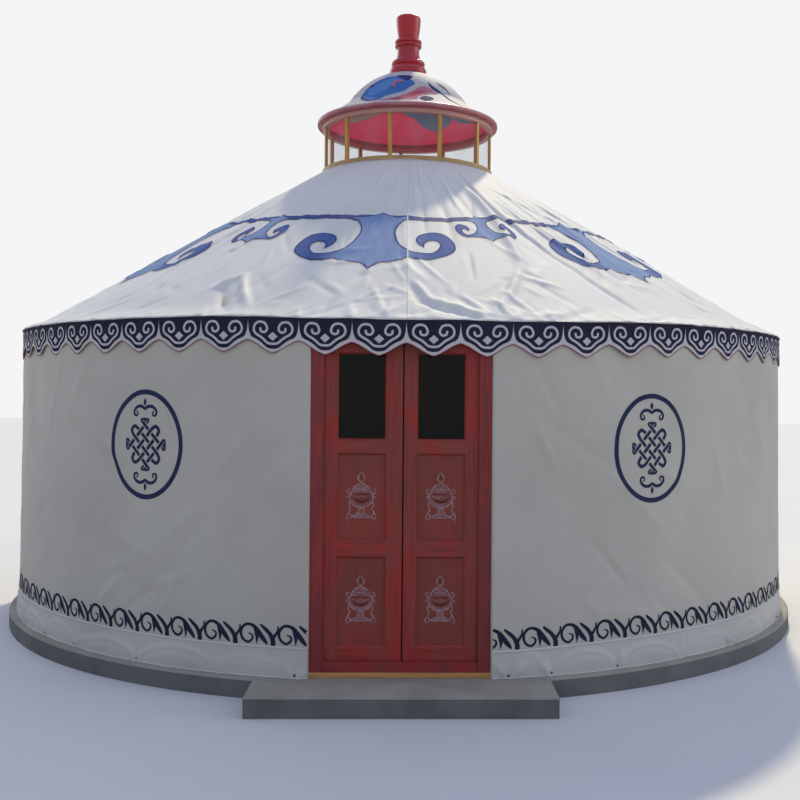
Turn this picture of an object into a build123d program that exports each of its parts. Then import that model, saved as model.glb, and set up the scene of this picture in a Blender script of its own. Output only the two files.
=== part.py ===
"""Yurt: a felt and canvas tent house on a round concrete plinth, with a two-leaf door and a glazed crown.

Millimetres. +Z is up and the ground is Z = 0. The origin is on the yurt's upright axis, and the door
faces -Y. A bearing is an angle round that axis, from the door towards +X, in degrees.
"""

import os
from math import asin, atan2, cos, degrees, pi, radians, sin, tan

from build123d import *

os.makedirs("parts", exist_ok=True)

# Plinth and doorstep
plinth_ledge = 62
plinth_height = 100
plinth_edge_chamfer = 8
step_width = 1520
step_reach = 228
step_sideways = 15
step_edge_chamfer = 6

# Round wall
wall_foot_radius = 2750
wall_lean = 22
cover_thickness = 25
cover_segments = 6
skirt_height = 150
skirt_thickness = 4

# Roof cone, measured on its outer surface
eave_inset = 28
crown_rise = 1266
roof_cover_thickness = 20
roof_lap = 22
roof_gores = 6

# Poles and lattice: one pole for each step of the lattice and two more over the door
pole_width = 30
pole_depth = 35
pole_tenon = 30
lath_width = 30
lath_thickness = 12
lattice_sections = 5
lattice_steps = 12
lattice_rows = 5
lattice_play = 3

# Valance hanging from the eave
scallop_count = 62
scallop_bearing = -2.5
valance_tip_drop = 213
valance_notch_drop = 144
valance_thickness = 4
valance_head_lap = 16
valance_standoff = 8
scallop_tip_width = 90
scallop_notch_width = 24

# Crown
ring_outer_radius = 650
ring_width = 60
ring_depth = 96
ring_show = 28
post_count = 11
post_bearing = -11
post_width = 26
post_depth = 22
post_inset = 10
post_height = 307
top_ring_width = 46
top_ring_depth = 29
pane_thickness = 3

# Cap: a rolled rim, a flared brim and a dome
cap_overhang = 39
cap_rim_depth = 38
cap_rim_width = 70
brim_width = 234
brim_rise = 140
brim_hollow = 10
dome_rise = 238
dome_shoulder_rise = 165
dome_shoulder_bulge = 8
dome_thickness = 8

# Finial, from its foot up: each turned part's radius and height
finial_base_radius = 141
finial_base_height = 70
finial_ring_radius = 128
finial_ring_height = 34
finial_neck_foot_radius = 99
finial_neck_head_radius = 85
finial_neck_height = 105
finial_collar_radius = 103
finial_collar_height = 29
finial_waist_radius = 74
finial_head_radius = 94
finial_head_height = 184
finial_head_edge = 14
finial_quirk = 5

# Door frame
frame_inset = 65
frame_depth = 60
head_depth = 43
jamb_width = 68
rebate = 10
rebate_play = 5
sill_height = 28
sill_nose = 5
threshold_height = 56
timber_chamfer = 3

# Door leaves
leaf_thickness = 36
leaf_gap = 6
meeting_gap = 8
hinge_stile = 78
left_meeting_stile = 90
right_meeting_stile = 72
panel_width = 240
bottom_rail = 82
lower_panel_height = 450
lock_rail = 97
upper_panel_height = 436
middle_rail = 83
glass_height = 436
top_rail = 80
panel_thickness = 12
glass_thickness = 5
groove_depth = 9
moulding = 8

# Hinges
pin_radius = 4
knuckle_radius = 7
knuckle_length = 26
knuckle_gap = 1
pin_offset = 9
hinge_plate_width = 34
hinge_plate_thickness = 4
hinge_end_inset = 170

# Clearances
seat_gap = 0.3
bore_gap = 0.3

# Heights and radii that follow from the sizes above
floor_z = plinth_height
plinth_radius = wall_foot_radius + plinth_ledge
wall_head_radius = wall_foot_radius - wall_lean
eave_radius = wall_head_radius - eave_inset
roof_top_radius = ring_outer_radius + seat_gap
roof_slope = atan2(crown_rise, eave_radius - roof_top_radius)
roof_drop = roof_cover_thickness / cos(roof_slope)
pole_drop = pole_depth / cos(roof_slope)
pole_count = lattice_sections * lattice_steps + 2
pole_pitch = 360 / pole_count

# Door sizes
leaf_height = (
    bottom_rail + lower_panel_height + lock_rail + upper_panel_height + middle_rail + glass_height + top_rail
)
left_leaf_width = hinge_stile + panel_width + left_meeting_stile
right_leaf_width = right_meeting_stile + panel_width + hinge_stile
rebated_width = left_leaf_width + right_leaf_width + meeting_gap + 2 * leaf_gap
clear_width = rebated_width - 2 * rebate
frame_half = clear_width / 2 + jamb_width
frame_face = wall_foot_radius - frame_inset
frame_inside = frame_face - frame_depth
lip_depth = frame_depth - leaf_thickness - rebate_play
sill_top = floor_z + sill_height
threshold_top = sill_top + threshold_height
leaf_bottom = threshold_top - rebate + leaf_gap
leaf_top = leaf_bottom + leaf_height
head_bottom = leaf_top + leaf_gap - rebate
head_top = head_bottom + head_depth

# The wall is as high as the door frame needs: its head goes under the poles that cross it, and of
# these the one furthest from the middle is the lowest
frame_bearing = degrees(asin(frame_half / frame_face))
head_pole_bearing = radians((int(frame_bearing / pole_pitch - 0.5) + 0.5) * pole_pitch)
head_pole_reach = frame_face / cos(head_pole_bearing) + pole_width / 2 * tan(head_pole_bearing)
roof_over_head = head_top + 2 * seat_gap + pole_drop + roof_drop
eave_z = roof_over_head - (eave_radius - head_pole_reach) * tan(roof_slope)
crown_edge_z = eave_z + crown_rise


def roof_z(radius):
    """Height of the roof's outer surface at a radius."""
    return eave_z + (eave_radius - radius) * tan(roof_slope)


def wall_radius(z):
    """Outer radius of the wall, which leans in a little towards its head."""
    return wall_foot_radius - wall_lean * (z - floor_z) / (eave_z - floor_z)


def upright_plane(bearing):
    """Plane through the axis at a bearing: its x runs outwards and its y runs up."""
    turn = radians(bearing - 90)
    return Plane(origin=(0, 0, 0), x_dir=(cos(turn), sin(turn), 0), z_dir=(sin(turn), -cos(turn), 0))


def save(builder, name):
    builder.part.label = name
    export_step(builder.part, f"parts/{name}.step")


# Plinth, which is the floor too, and the doorstep against it
with BuildPart() as plinth:
    Cylinder(plinth_radius, plinth_height, align=(Align.CENTER, Align.CENTER, Align.MIN))
    chamfer(plinth.edges().group_by(Axis.Z)[-1], plinth_edge_chamfer)
save(plinth, "plinth")

step_front = plinth_radius + step_reach
with BuildPart() as doorstep:
    with BuildSketch():
        with Locations((step_sideways, 0)):
            Rectangle(step_width, step_front, align=(Align.CENTER, Align.MAX))
        Circle(plinth_radius + seat_gap, mode=Mode.SUBTRACT)
    extrude(amount=plinth_height)
    front_top = doorstep.edges().filter_by(Axis.X).group_by(Axis.Z)[-1]
    chamfer(front_top, step_edge_chamfer)
save(doorstep, "doorstep")

# Door frame: a sill board, two jambs and, between them, a threshold and a head
with BuildPart() as sill_board:
    with BuildSketch(Plane.XY.offset(floor_z)):
        with Locations((0, -frame_inside)):
            Rectangle(2 * frame_half, frame_depth + sill_nose, align=(Align.CENTER, Align.MAX))
    extrude(amount=sill_height)
    chamfer(sill_board.edges().filter_by(Axis.X).sort_by(Axis.Y)[:2], timber_chamfer)
save(sill_board, "sill_board")

with BuildPart() as left_jamb:
    with BuildSketch(Plane.XY.offset(sill_top)):
        with BuildLine():
            Polyline(
                (0, -frame_face),
                (jamb_width, -frame_face),
                (jamb_width, -frame_face + lip_depth),
                (jamb_width - rebate, -frame_face + lip_depth),
                (jamb_width - rebate, -frame_inside),
                (0, -frame_inside),
                close=True,
            )
        make_face()
    extrude(amount=head_top - sill_top)
    front_edges = left_jamb.edges().filter_by(Axis.Z).group_by(Axis.Y)[0]
    chamfer(front_edges, timber_chamfer)

for side, name in ((-1, "left"), (1, "right")):
    with BuildPart() as jamb:
        add(left_jamb.part.moved(Location((-frame_half, 0, 0))))
        if side > 0:
            mirror(about=Plane.YZ, mode=Mode.REPLACE)
    save(jamb, f"door_{name}_jamb")

# The head and the threshold: each has a lip in front, between the jambs' lips, and behind it a part
# that the rebate makes lower and that runs into the jambs' rebates
for name, low, high, inner_low, inner_high in (
    ("door_head", head_bottom, head_top, head_bottom + rebate, head_top),
    ("door_threshold", sill_top, threshold_top, sill_top, threshold_top - rebate),
):
    with BuildPart() as rail:
        with BuildSketch(Plane.XY.offset(low)):
            with Locations((0, -frame_face)):
                Rectangle(clear_width, lip_depth, align=(Align.CENTER, Align.MIN))
        extrude(amount=high - low)
        with BuildSketch(Plane.XY.offset(inner_low)):
            with Locations((0, -frame_inside)):
                Rectangle(rebated_width, frame_depth - lip_depth, align=(Align.CENTER, Align.MAX))
        extrude(amount=inner_high - inner_low)
    save(rail, name)

# Door leaves: a frame of stiles and rails with three grooved openings, two panels and a pane
lower_panel_z = leaf_bottom + bottom_rail
upper_panel_z = lower_panel_z + lower_panel_height + lock_rail
glass_z = upper_panel_z + upper_panel_height + middle_rail
opening_rows = (
    (lower_panel_z, lower_panel_height, panel_thickness),
    (upper_panel_z, upper_panel_height, panel_thickness),
    (glass_z, glass_height, glass_thickness),
)
leaf_middle = frame_inside + leaf_thickness / 2
left_hinge_x = -rebated_width / 2 + leaf_gap
right_hinge_x = -left_hinge_x


def facing_plane(depth):
    """Upright plane at a distance from the axis towards the door, seen from outside."""
    return Plane.XZ.offset(depth)


def leaf_parts(side, hinge_x, width):
    """Frame, panels and pane of one leaf, which runs from its hinge edge towards the middle."""
    edge_x = hinge_x if side < 0 else hinge_x - width
    opening_x = hinge_x - side * (hinge_stile + panel_width / 2)
    with BuildPart() as frame:
        with BuildSketch(facing_plane(frame_inside)):
            with Locations((edge_x, leaf_bottom)):
                Rectangle(width, leaf_height, align=(Align.MIN, Align.MIN))
            for low, height, _ in opening_rows:
                with Locations((opening_x, low)):
                    Rectangle(panel_width, height, align=(Align.CENTER, Align.MIN), mode=Mode.SUBTRACT)
        extrude(amount=leaf_thickness)
        outer_edges = frame.faces().sort_by(Axis.Y)[0].inner_wires().edges()
        chamfer(outer_edges, moulding)
        for low, height, thickness in opening_rows:
            groove = thickness + 2 * seat_gap
            with BuildSketch(facing_plane(leaf_middle - groove / 2)):
                with Locations((opening_x, low - groove_depth)):
                    Rectangle(
                        panel_width + 2 * groove_depth,
                        height + 2 * groove_depth,
                        align=(Align.CENTER, Align.MIN),
                    )
            extrude(amount=groove, mode=Mode.SUBTRACT)
    inset = groove_depth - seat_gap
    boards = []
    for rows in (opening_rows[:2], opening_rows[2:]):
        with BuildPart() as board:
            for low, height, thickness in rows:
                with BuildSketch(facing_plane(leaf_middle - thickness / 2)):
                    with Locations((opening_x, low - inset)):
                        Rectangle(
                            panel_width + 2 * inset, height + 2 * inset, align=(Align.CENTER, Align.MIN)
                        )
                extrude(amount=thickness)
        boards.append(board)
    return frame, boards[0], boards[1]


hinge_heights = (
    leaf_bottom + hinge_end_inset,
    (leaf_bottom + leaf_top) / 2,
    leaf_top - hinge_end_inset,
)
pin_y = -frame_inside + pin_offset


def hinge_row(pin_x, plate_side, with_pin):
    """Hinges at three heights: a plate on the timber's inner face, with its knuckles round the pin."""
    outer_length = 3 * knuckle_length + 2 * knuckle_gap
    with BuildPart() as hinges:
        for middle in hinge_heights:
            with BuildSketch(Plane.XY.offset(middle - outer_length / 2)):
                with Locations((pin_x + plate_side * (bore_gap + pin_radius / 2), -frame_inside)):
                    near = Align.MIN if plate_side > 0 else Align.MAX
                    Rectangle(hinge_plate_width, hinge_plate_thickness, align=(near, Align.MIN))
            extrude(amount=outer_length)
            if with_pin:
                for step in (-1, 1):
                    level = middle + step * (knuckle_length + knuckle_gap) - knuckle_length / 2
                    with BuildSketch(Plane.XY.offset(level)):
                        with Locations((pin_x, pin_y)):
                            Circle(knuckle_radius)
                    extrude(amount=knuckle_length)
                window = knuckle_length + 2 * knuckle_gap
                with BuildSketch(Plane.XY.offset(middle - window / 2)):
                    with Locations((pin_x, pin_y)):
                        Circle(knuckle_radius + knuckle_gap)
                extrude(amount=window, mode=Mode.SUBTRACT)
                with BuildSketch(Plane.XY.offset(middle - outer_length / 2)):
                    with Locations((pin_x, pin_y)):
                        Circle(pin_radius)
                extrude(amount=outer_length)
            else:
                for step in (-1, 1):
                    level = middle + step * (knuckle_length + knuckle_gap) - knuckle_length / 2
                    with BuildSketch(Plane.XY.offset(level - knuckle_gap)):
                        with Locations((pin_x, pin_y)):
                            Circle(knuckle_radius + knuckle_gap)
                    extrude(amount=knuckle_length + 2 * knuckle_gap, mode=Mode.SUBTRACT)
                with BuildSketch(Plane.XY.offset(middle - knuckle_length / 2)):
                    with Locations((pin_x, pin_y)):
                        Circle(knuckle_radius)
                extrude(amount=knuckle_length)
                with BuildSketch(Plane.XY.offset(middle - knuckle_length / 2)):
                    with Locations((pin_x, pin_y)):
                        Circle(pin_radius + bore_gap)
                extrude(amount=knuckle_length, mode=Mode.SUBTRACT)
    return hinges


for side, name, hinge_x, width in (
    (-1, "left", left_hinge_x, left_leaf_width),
    (1, "right", right_hinge_x, right_leaf_width),
):
    leaf_frame, leaf_panels, leaf_pane = leaf_parts(side, hinge_x, width)
    pin_x = hinge_x + side * leaf_gap / 2
    save(leaf_frame, f"{name}_door_frame")
    save(leaf_panels, f"{name}_door_panels")
    save(leaf_pane, f"{name}_door_glass")
    save(hinge_row(pin_x, -side, False), f"{name}_door_hinges")
    save(hinge_row(pin_x, side, True), f"{name}_jamb_hinges")
    print(name, "hinge axis at", round(pin_x, 2), round(pin_y, 2))

# Wall cover: felt and canvas in upright segments, cut away beside the door frame
doorway_half = frame_half + seat_gap
doorway_reach = wall_foot_radius + cover_thickness
doorway_bearing = degrees(asin(doorway_half / wall_foot_radius))
cover_start = doorway_bearing - 1
cover_span = (360 - 2 * cover_start) / cover_segments


def cover_head_z(radius):
    """Height at which a cover meets the underside of the roof cover."""
    return roof_z(radius) - roof_drop - seat_gap


def cover_outline(low):
    """Corners of the wall cover's section, from a height up to the roof's underside."""
    foot, head = wall_radius(low), wall_head_radius
    return (
        (foot - cover_thickness, low),
        (foot, low),
        (head, cover_head_z(head)),
        (head - cover_thickness, cover_head_z(head - cover_thickness)),
    )


with BuildPart() as doorway:
    with BuildSketch(Plane.XY.offset(floor_z)):
        Rectangle(2 * doorway_half, doorway_reach, align=(Align.CENTER, Align.MAX))
    extrude(amount=eave_z)

for index in range(cover_segments):
    with BuildPart() as cover:
        with BuildSketch(upright_plane(cover_start + index * cover_span)):
            with BuildLine():
                Polyline(*cover_outline(floor_z), close=True)
            make_face()
        revolve(axis=Axis.Z, revolution_arc=cover_span)
        if index in (0, cover_segments - 1):
            add(doorway.part, mode=Mode.SUBTRACT)
    save(cover, f"wall_cover_{index + 1}")

with BuildPart() as door_strip:
    with BuildSketch(upright_plane(-doorway_bearing - 1)):
        with BuildLine():
            Polyline(*cover_outline(head_top + seat_gap), close=True)
        make_face()
    revolve(axis=Axis.Z, revolution_arc=2 * (doorway_bearing + 1))
    with BuildSketch(Plane.XY.offset(head_top)):
        Rectangle(2 * frame_half, doorway_reach, align=(Align.CENTER, Align.MAX))
    extrude(amount=eave_z, mode=Mode.INTERSECT)
save(door_strip, "wall_cover_over_door")

with BuildPart() as skirt:
    with BuildSketch(upright_plane(cover_start)):
        low_radius = wall_radius(floor_z) + seat_gap
        high_radius = wall_radius(floor_z + skirt_height) + seat_gap
        with BuildLine():
            Polyline(
                (low_radius, floor_z),
                (low_radius + skirt_thickness, floor_z),
                (high_radius + skirt_thickness, floor_z + skirt_height),
                (high_radius, floor_z + skirt_height),
                close=True,
            )
        make_face()
    revolve(axis=Axis.Z, revolution_arc=360 - 2 * cover_start)
    add(doorway.part, mode=Mode.SUBTRACT)
save(skirt, "skirt")

# Lattice: two sets of laths bent round the wall, fused where they cross
lattice_radius = wall_head_radius - cover_thickness - lattice_play
lattice_middle_radius = lattice_radius - lath_thickness / 2
lattice_top = roof_z(lattice_radius) - roof_drop - pole_drop - seat_gap
lattice_middle_z = (floor_z + lattice_top) / 2
row_half_height = (lattice_top - floor_z - lath_width) / 2
section_span = pole_pitch * lattice_steps
lath_sweep = lattice_rows * pole_pitch / 2
lath_rise = row_half_height / sin(radians(lath_sweep))
lath_angle = degrees(atan2(lath_rise, lattice_middle_radius))
lath_reach = 2 * lattice_top
lath_slab_depth = 2 * (lattice_radius - lattice_radius * cos(radians(lath_sweep + pole_pitch)))


def lath_plane(bearing, lean):
    """Plane tangent to the lattice at a bearing, with its x along the leaning lath and z outwards."""
    turn = radians(bearing)
    outwards = Vector(sin(turn), -cos(turn), 0)
    sideways = Vector(cos(turn), sin(turn), 0)
    rise = radians(lean)
    along = sideways * cos(rise) + Vector(0, 0, 1) * sin(rise)
    origin = outwards * lattice_middle_radius + Vector(0, 0, lattice_middle_z)
    return Plane(origin=origin, x_dir=along, z_dir=outwards)


first_lath = -lattice_rows
last_lath = lattice_steps + lattice_rows
lath_shift = 0.5 * ((lattice_rows + 1) % 2)
with BuildPart() as lattice_section:
    for lean in (-lath_angle, lath_angle):
        for step in range(first_lath, last_lath + 1):
            with Locations(lath_plane((step + lath_shift) * pole_pitch, lean)):
                Box(lath_reach, lath_width, lath_slab_depth)
    with BuildSketch(upright_plane(0)):
        with Locations((lattice_radius, floor_z)):
            Rectangle(lath_thickness, lattice_top - floor_z, align=(Align.MAX, Align.MIN))
    revolve(axis=Axis.Z, revolution_arc=section_span, mode=Mode.INTERSECT)

for index in range(lattice_sections):
    with BuildPart() as lattice:
        add(lattice_section.part.rotate(Axis.Z, pole_pitch + index * section_span))
        if index in (0, lattice_sections - 1):
            add(doorway.part, mode=Mode.SUBTRACT)
    save(lattice, f"lattice_{index + 1}")

# Roof poles, from the lattice's head to mortises in the crown ring
pole_head_radius = ring_outer_radius - pole_tenon


def pole_outline(inner, outer, play):
    """Corners of a pole's side view, under the roof cover from one radius to another."""
    top = roof_drop + seat_gap - play
    bottom = roof_drop + seat_gap + pole_drop + play
    return (
        (inner, roof_z(inner) - bottom),
        (outer, roof_z(outer) - bottom),
        (outer, roof_z(outer) - top),
        (inner, roof_z(inner) - top),
    )


with BuildPart() as one_pole:
    with BuildSketch(upright_plane(0)):
        with BuildLine():
            Polyline(*pole_outline(pole_head_radius, lattice_radius, 0), close=True)
        make_face()
    extrude(amount=pole_width / 2, both=True)

with BuildPart() as roof_poles:
    with PolarLocations(0, pole_count, start_angle=pole_pitch / 2):
        add(one_pole.part)
save(roof_poles, "roof_poles")

with BuildPart() as mortise:
    with BuildSketch(upright_plane(0)):
        mortise_outline = pole_outline(pole_head_radius - seat_gap, ring_outer_radius + pole_tenon, seat_gap)
        with BuildLine():
            Polyline(*mortise_outline, close=True)
        make_face()
    extrude(amount=pole_width / 2 + seat_gap, both=True)

# Roof cover in gores from the crown ring to the eave
for index in range(roof_gores):
    with BuildPart() as gore:
        with BuildSketch(upright_plane(index * 360 / roof_gores)):
            lap_radius = eave_radius + roof_lap
            with BuildLine():
                Polyline(
                    (roof_top_radius, roof_z(roof_top_radius) - roof_drop),
                    (lap_radius, roof_z(lap_radius) - roof_drop),
                    (lap_radius, roof_z(lap_radius)),
                    (roof_top_radius, roof_z(roof_top_radius)),
                    close=True,
                )
            make_face()
        revolve(axis=Axis.Z, revolution_arc=360 / roof_gores)
    save(gore, f"roof_cover_{index + 1}")

# Valance: a scalloped strip bent over the eave, open at the back where its ends meet
valance_radius = wall_head_radius + valance_standoff
valance_tip_z = eave_z - valance_tip_drop
valance_notch_z = eave_z - valance_notch_drop
scallop_pitch = 360 / scallop_count
with BuildPart() as scallop_gap:
    pitch_length = 2 * pi * valance_radius / scallop_count
    with BuildSketch(facing_plane(valance_radius - 2 * valance_standoff - valance_thickness)):
        with BuildLine():
            Polyline(
                (-pitch_length / 2, valance_tip_z - valance_thickness),
                (-(pitch_length - scallop_tip_width) / 2, valance_tip_z),
                (-scallop_notch_width / 2, valance_notch_z - valance_thickness),
                (0, valance_notch_z),
                (scallop_notch_width / 2, valance_notch_z - valance_thickness),
                ((pitch_length - scallop_tip_width) / 2, valance_tip_z),
                (pitch_length / 2, valance_tip_z - valance_thickness),
                close=True,
            )
        make_face()
    extrude(amount=4 * valance_standoff + 2 * valance_thickness)

with BuildPart() as valance:
    with BuildSketch(upright_plane(180)):
        inner_top = eave_radius - valance_head_lap
        bend_radius = valance_radius - valance_standoff
        with BuildLine():
            Polyline(
                (inner_top, roof_z(inner_top) + seat_gap),
                (bend_radius, roof_z(bend_radius) + seat_gap),
                (valance_radius - valance_thickness, roof_z(valance_radius) - valance_thickness),
                (valance_radius - valance_thickness, valance_tip_z),
                (valance_radius, valance_tip_z),
                (valance_radius, roof_z(valance_radius)),
                (bend_radius, roof_z(bend_radius) + seat_gap + valance_thickness),
                (inner_top, roof_z(inner_top) + seat_gap + valance_thickness),
                close=True,
            )
        make_face()
    revolve(axis=Axis.Z)
    with PolarLocations(0, scallop_count, start_angle=scallop_bearing + scallop_pitch / 2):
        add(scallop_gap.part, mode=Mode.SUBTRACT)
save(valance, "valance")

# Crown ring, posts, panes and top ring
ring_top_z = crown_edge_z + ring_show
with BuildPart() as crown_ring:
    with BuildSketch(upright_plane(0)):
        with Locations((ring_outer_radius, ring_top_z)):
            Rectangle(ring_width, ring_depth, align=(Align.MAX, Align.MAX))
    revolve(axis=Axis.Z)
    with PolarLocations(0, pole_count, start_angle=pole_pitch / 2):
        add(mortise.part, mode=Mode.SUBTRACT)
save(crown_ring, "crown_ring")

top_ring_top = ring_top_z + post_height + top_ring_depth
post_outer = ring_outer_radius - post_inset
post_pitch = 360 / post_count
with BuildPart() as crown_posts:
    with PolarLocations(0, post_count, start_angle=post_bearing - 90):
        with Locations((post_outer, 0, ring_top_z)):
            Box(
                post_depth,
                post_width,
                post_height,
                align=(Align.MAX, Align.CENTER, Align.MIN),
            )
save(crown_posts, "crown_posts")

with BuildPart() as crown_top_ring:
    with BuildSketch(upright_plane(0)):
        with Locations((post_outer + (top_ring_width - post_depth) / 2, top_ring_top)):
            Rectangle(top_ring_width, top_ring_depth, align=(Align.MAX, Align.MAX))
    revolve(axis=Axis.Z)
save(crown_top_ring, "crown_top_ring")

# Flat clear panes, each held between two posts
pane_radius = post_outer - post_depth / 2
half_bay = radians(post_pitch / 2)
pane_length = 2 * (pane_radius * sin(half_bay) - (post_width / 2 + seat_gap) / cos(half_bay)) - pane_thickness
with BuildPart() as crown_panes:
    with PolarLocations(0, post_count, start_angle=post_bearing - 90 + post_pitch / 2):
        with Locations((pane_radius * cos(half_bay), 0, ring_top_z + seat_gap)):
            Box(
                pane_thickness,
                pane_length,
                post_height - 2 * seat_gap,
                align=(Align.CENTER, Align.CENTER, Align.MIN),
            )
save(crown_panes, "crown_panes")

# Cap: a rolled rim on the top ring, and a thin dome with a flared brim
cap_radius = ring_outer_radius + cap_overhang
rim_top = top_ring_top + cap_rim_depth
with BuildPart() as cap_rim:
    with BuildSketch(upright_plane(0)):
        with Locations((cap_radius, top_ring_top)):
            Rectangle(cap_rim_width, cap_rim_depth, align=(Align.MAX, Align.MIN))
    revolve(axis=Axis.Z)
    outer = cap_rim.edges().filter_by(GeomType.CIRCLE).group_by(SortBy.RADIUS)[-1]
    fillet(outer, cap_rim_depth / 3)
save(cap_rim, "cap_rim")

brim_foot_z = rim_top + seat_gap
brim_outer = cap_radius - cap_rim_depth / 2
break_radius = cap_radius - brim_width
break_z = rim_top + brim_rise
dome_top = break_z + dome_rise
dome_top_radius = finial_base_radius - 2 * dome_thickness


def cap_curves(inset, foot_radius):
    """Points of the cap's brim and dome, three for each arc, on a surface an inset below the outer one."""
    brim_middle_z = (brim_foot_z + break_z - inset) / 2 - brim_hollow
    brim_middle = ((foot_radius + break_radius - inset) / 2, brim_middle_z)
    shoulder_radius = (break_radius + dome_top_radius) / 2 + dome_shoulder_bulge
    brim_arc = ((foot_radius, brim_foot_z), brim_middle, (break_radius - inset, break_z - inset))
    dome_arc = (
        brim_arc[-1],
        (shoulder_radius - inset, break_z + dome_shoulder_rise - inset),
        (dome_top_radius - inset, dome_top - inset),
    )
    return brim_arc, dome_arc


outer_brim, outer_dome = cap_curves(0, brim_outer)
inner_brim, inner_dome = cap_curves(dome_thickness, brim_outer - 2 * dome_thickness)
with BuildPart() as cap_dome:
    with BuildSketch(upright_plane(0)):
        with BuildLine():
            ThreePointArc(*outer_brim)
            ThreePointArc(*outer_dome)
            Polyline(outer_dome[-1], (0, dome_top), (0, dome_top - dome_thickness), inner_dome[-1])
            ThreePointArc(*reversed(inner_dome))
            ThreePointArc(*reversed(inner_brim))
            Line(inner_brim[0], outer_brim[0])
        make_face()
    revolve(axis=Axis.Z)
save(cap_dome, "cap_dome")

# Finial, turned from one piece of wood: base, ring, neck, two collars, waist and head
base_top = dome_top + seat_gap + finial_base_height
ring_foot = base_top + finial_quirk
neck_foot = ring_foot + finial_ring_height
collar_foot = neck_foot + finial_neck_height
waist_z = collar_foot + 2 * finial_collar_height
head_edge_z = waist_z + finial_head_height
head_top_radius = finial_head_radius - 2 * finial_head_edge
with BuildPart() as finial:
    with BuildSketch(upright_plane(0)):
        with BuildLine():
            Line((0, dome_top + seat_gap), (finial_base_radius - finial_quirk, dome_top + seat_gap))
            ThreePointArc(
                (finial_base_radius - finial_quirk, dome_top + seat_gap),
                (finial_base_radius, dome_top + seat_gap + finial_base_height / 3),
                (finial_ring_radius - 2 * finial_quirk, base_top),
            )
            Line(
                (finial_ring_radius - 2 * finial_quirk, base_top),
                (finial_ring_radius - finial_quirk, ring_foot),
            )
            ThreePointArc(
                (finial_ring_radius - finial_quirk, ring_foot),
                (finial_ring_radius, ring_foot + finial_ring_height / 3),
                (finial_neck_foot_radius, neck_foot),
            )
            ThreePointArc(
                (finial_neck_foot_radius, neck_foot),
                (finial_neck_head_radius, neck_foot + finial_neck_height / 2),
                (finial_neck_head_radius, collar_foot),
            )
            for foot in (collar_foot, collar_foot + finial_collar_height):
                inner = finial_collar_radius - 2 * finial_quirk
                if foot == collar_foot:
                    Line((finial_neck_head_radius, foot), (inner, foot))
                ThreePointArc(
                    (inner, foot),
                    (finial_collar_radius, foot + finial_collar_height / 2),
                    (inner, foot + finial_collar_height),
                )
            Line((finial_collar_radius - 2 * finial_quirk, waist_z), (finial_waist_radius, waist_z))
            ThreePointArc(
                (finial_waist_radius, waist_z),
                (finial_head_radius - finial_quirk, waist_z + finial_head_height / 2),
                (finial_head_radius, head_edge_z - 2 * finial_head_edge),
            )
            ThreePointArc(
                (finial_head_radius, head_edge_z - 2 * finial_head_edge),
                (finial_head_radius - finial_head_edge / 2, head_edge_z - finial_head_edge / 2),
                (head_top_radius, head_edge_z),
            )
            Polyline((head_top_radius, head_edge_z), (0, head_edge_z), (0, dome_top + seat_gap))
        make_face()
    revolve(axis=Axis.Z)
save(finial, "finial")

print("roof slope", round(degrees(roof_slope), 2), "lath angle", round(lath_angle, 1))
print("eave", round(eave_z, 1), "lattice top", round(lattice_top, 1), "cap top", round(dome_top, 1))
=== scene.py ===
# %% [markdown]
# # A yurt's canvas, prints, paint and lacquer
# The rigid parts of this yurt come from CAD: plinth, door, lattice, poles, crown and finial. This script
# dresses them. Cloth, printed patterns, paint and small fastenings are made here, because they are thin,
# soft or too fine for solids. Everything is in metres. The yurt's axis is Z, and the door faces -Y.

# %% Load the frame
import math

import bpy
import numpy as np
from mathutils import Matrix, Vector
from mathutils.geometry import delaunay_2d_cdt


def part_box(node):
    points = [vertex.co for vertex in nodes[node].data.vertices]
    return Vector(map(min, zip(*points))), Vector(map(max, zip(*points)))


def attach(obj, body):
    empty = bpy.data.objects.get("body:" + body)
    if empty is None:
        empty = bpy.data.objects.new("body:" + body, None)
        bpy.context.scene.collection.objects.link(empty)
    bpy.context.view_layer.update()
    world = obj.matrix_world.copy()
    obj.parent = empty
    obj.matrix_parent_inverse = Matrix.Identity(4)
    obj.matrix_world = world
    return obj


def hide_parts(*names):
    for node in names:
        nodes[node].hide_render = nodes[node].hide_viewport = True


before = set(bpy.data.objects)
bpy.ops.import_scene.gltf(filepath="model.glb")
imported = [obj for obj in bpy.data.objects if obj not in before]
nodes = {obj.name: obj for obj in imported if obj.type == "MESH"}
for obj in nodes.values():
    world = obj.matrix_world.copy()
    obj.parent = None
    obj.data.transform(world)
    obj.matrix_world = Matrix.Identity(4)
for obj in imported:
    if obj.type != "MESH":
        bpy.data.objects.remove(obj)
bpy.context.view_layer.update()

scene = bpy.context.scene
scene.view_settings.view_transform = "Standard"
print("CAD parts:", len(nodes))

# %% [markdown]
# ## The camera
# The photograph was taken standing in front of the door, at eye height and about five metres from it.
# It was held level but for a small roll, and turned a little to the right of the yurt's axis, so the lens
# is shifted to bring the yurt back to the middle. A camera that is built from its own right, up and
# forward directions takes all three turns in directly.

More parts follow.
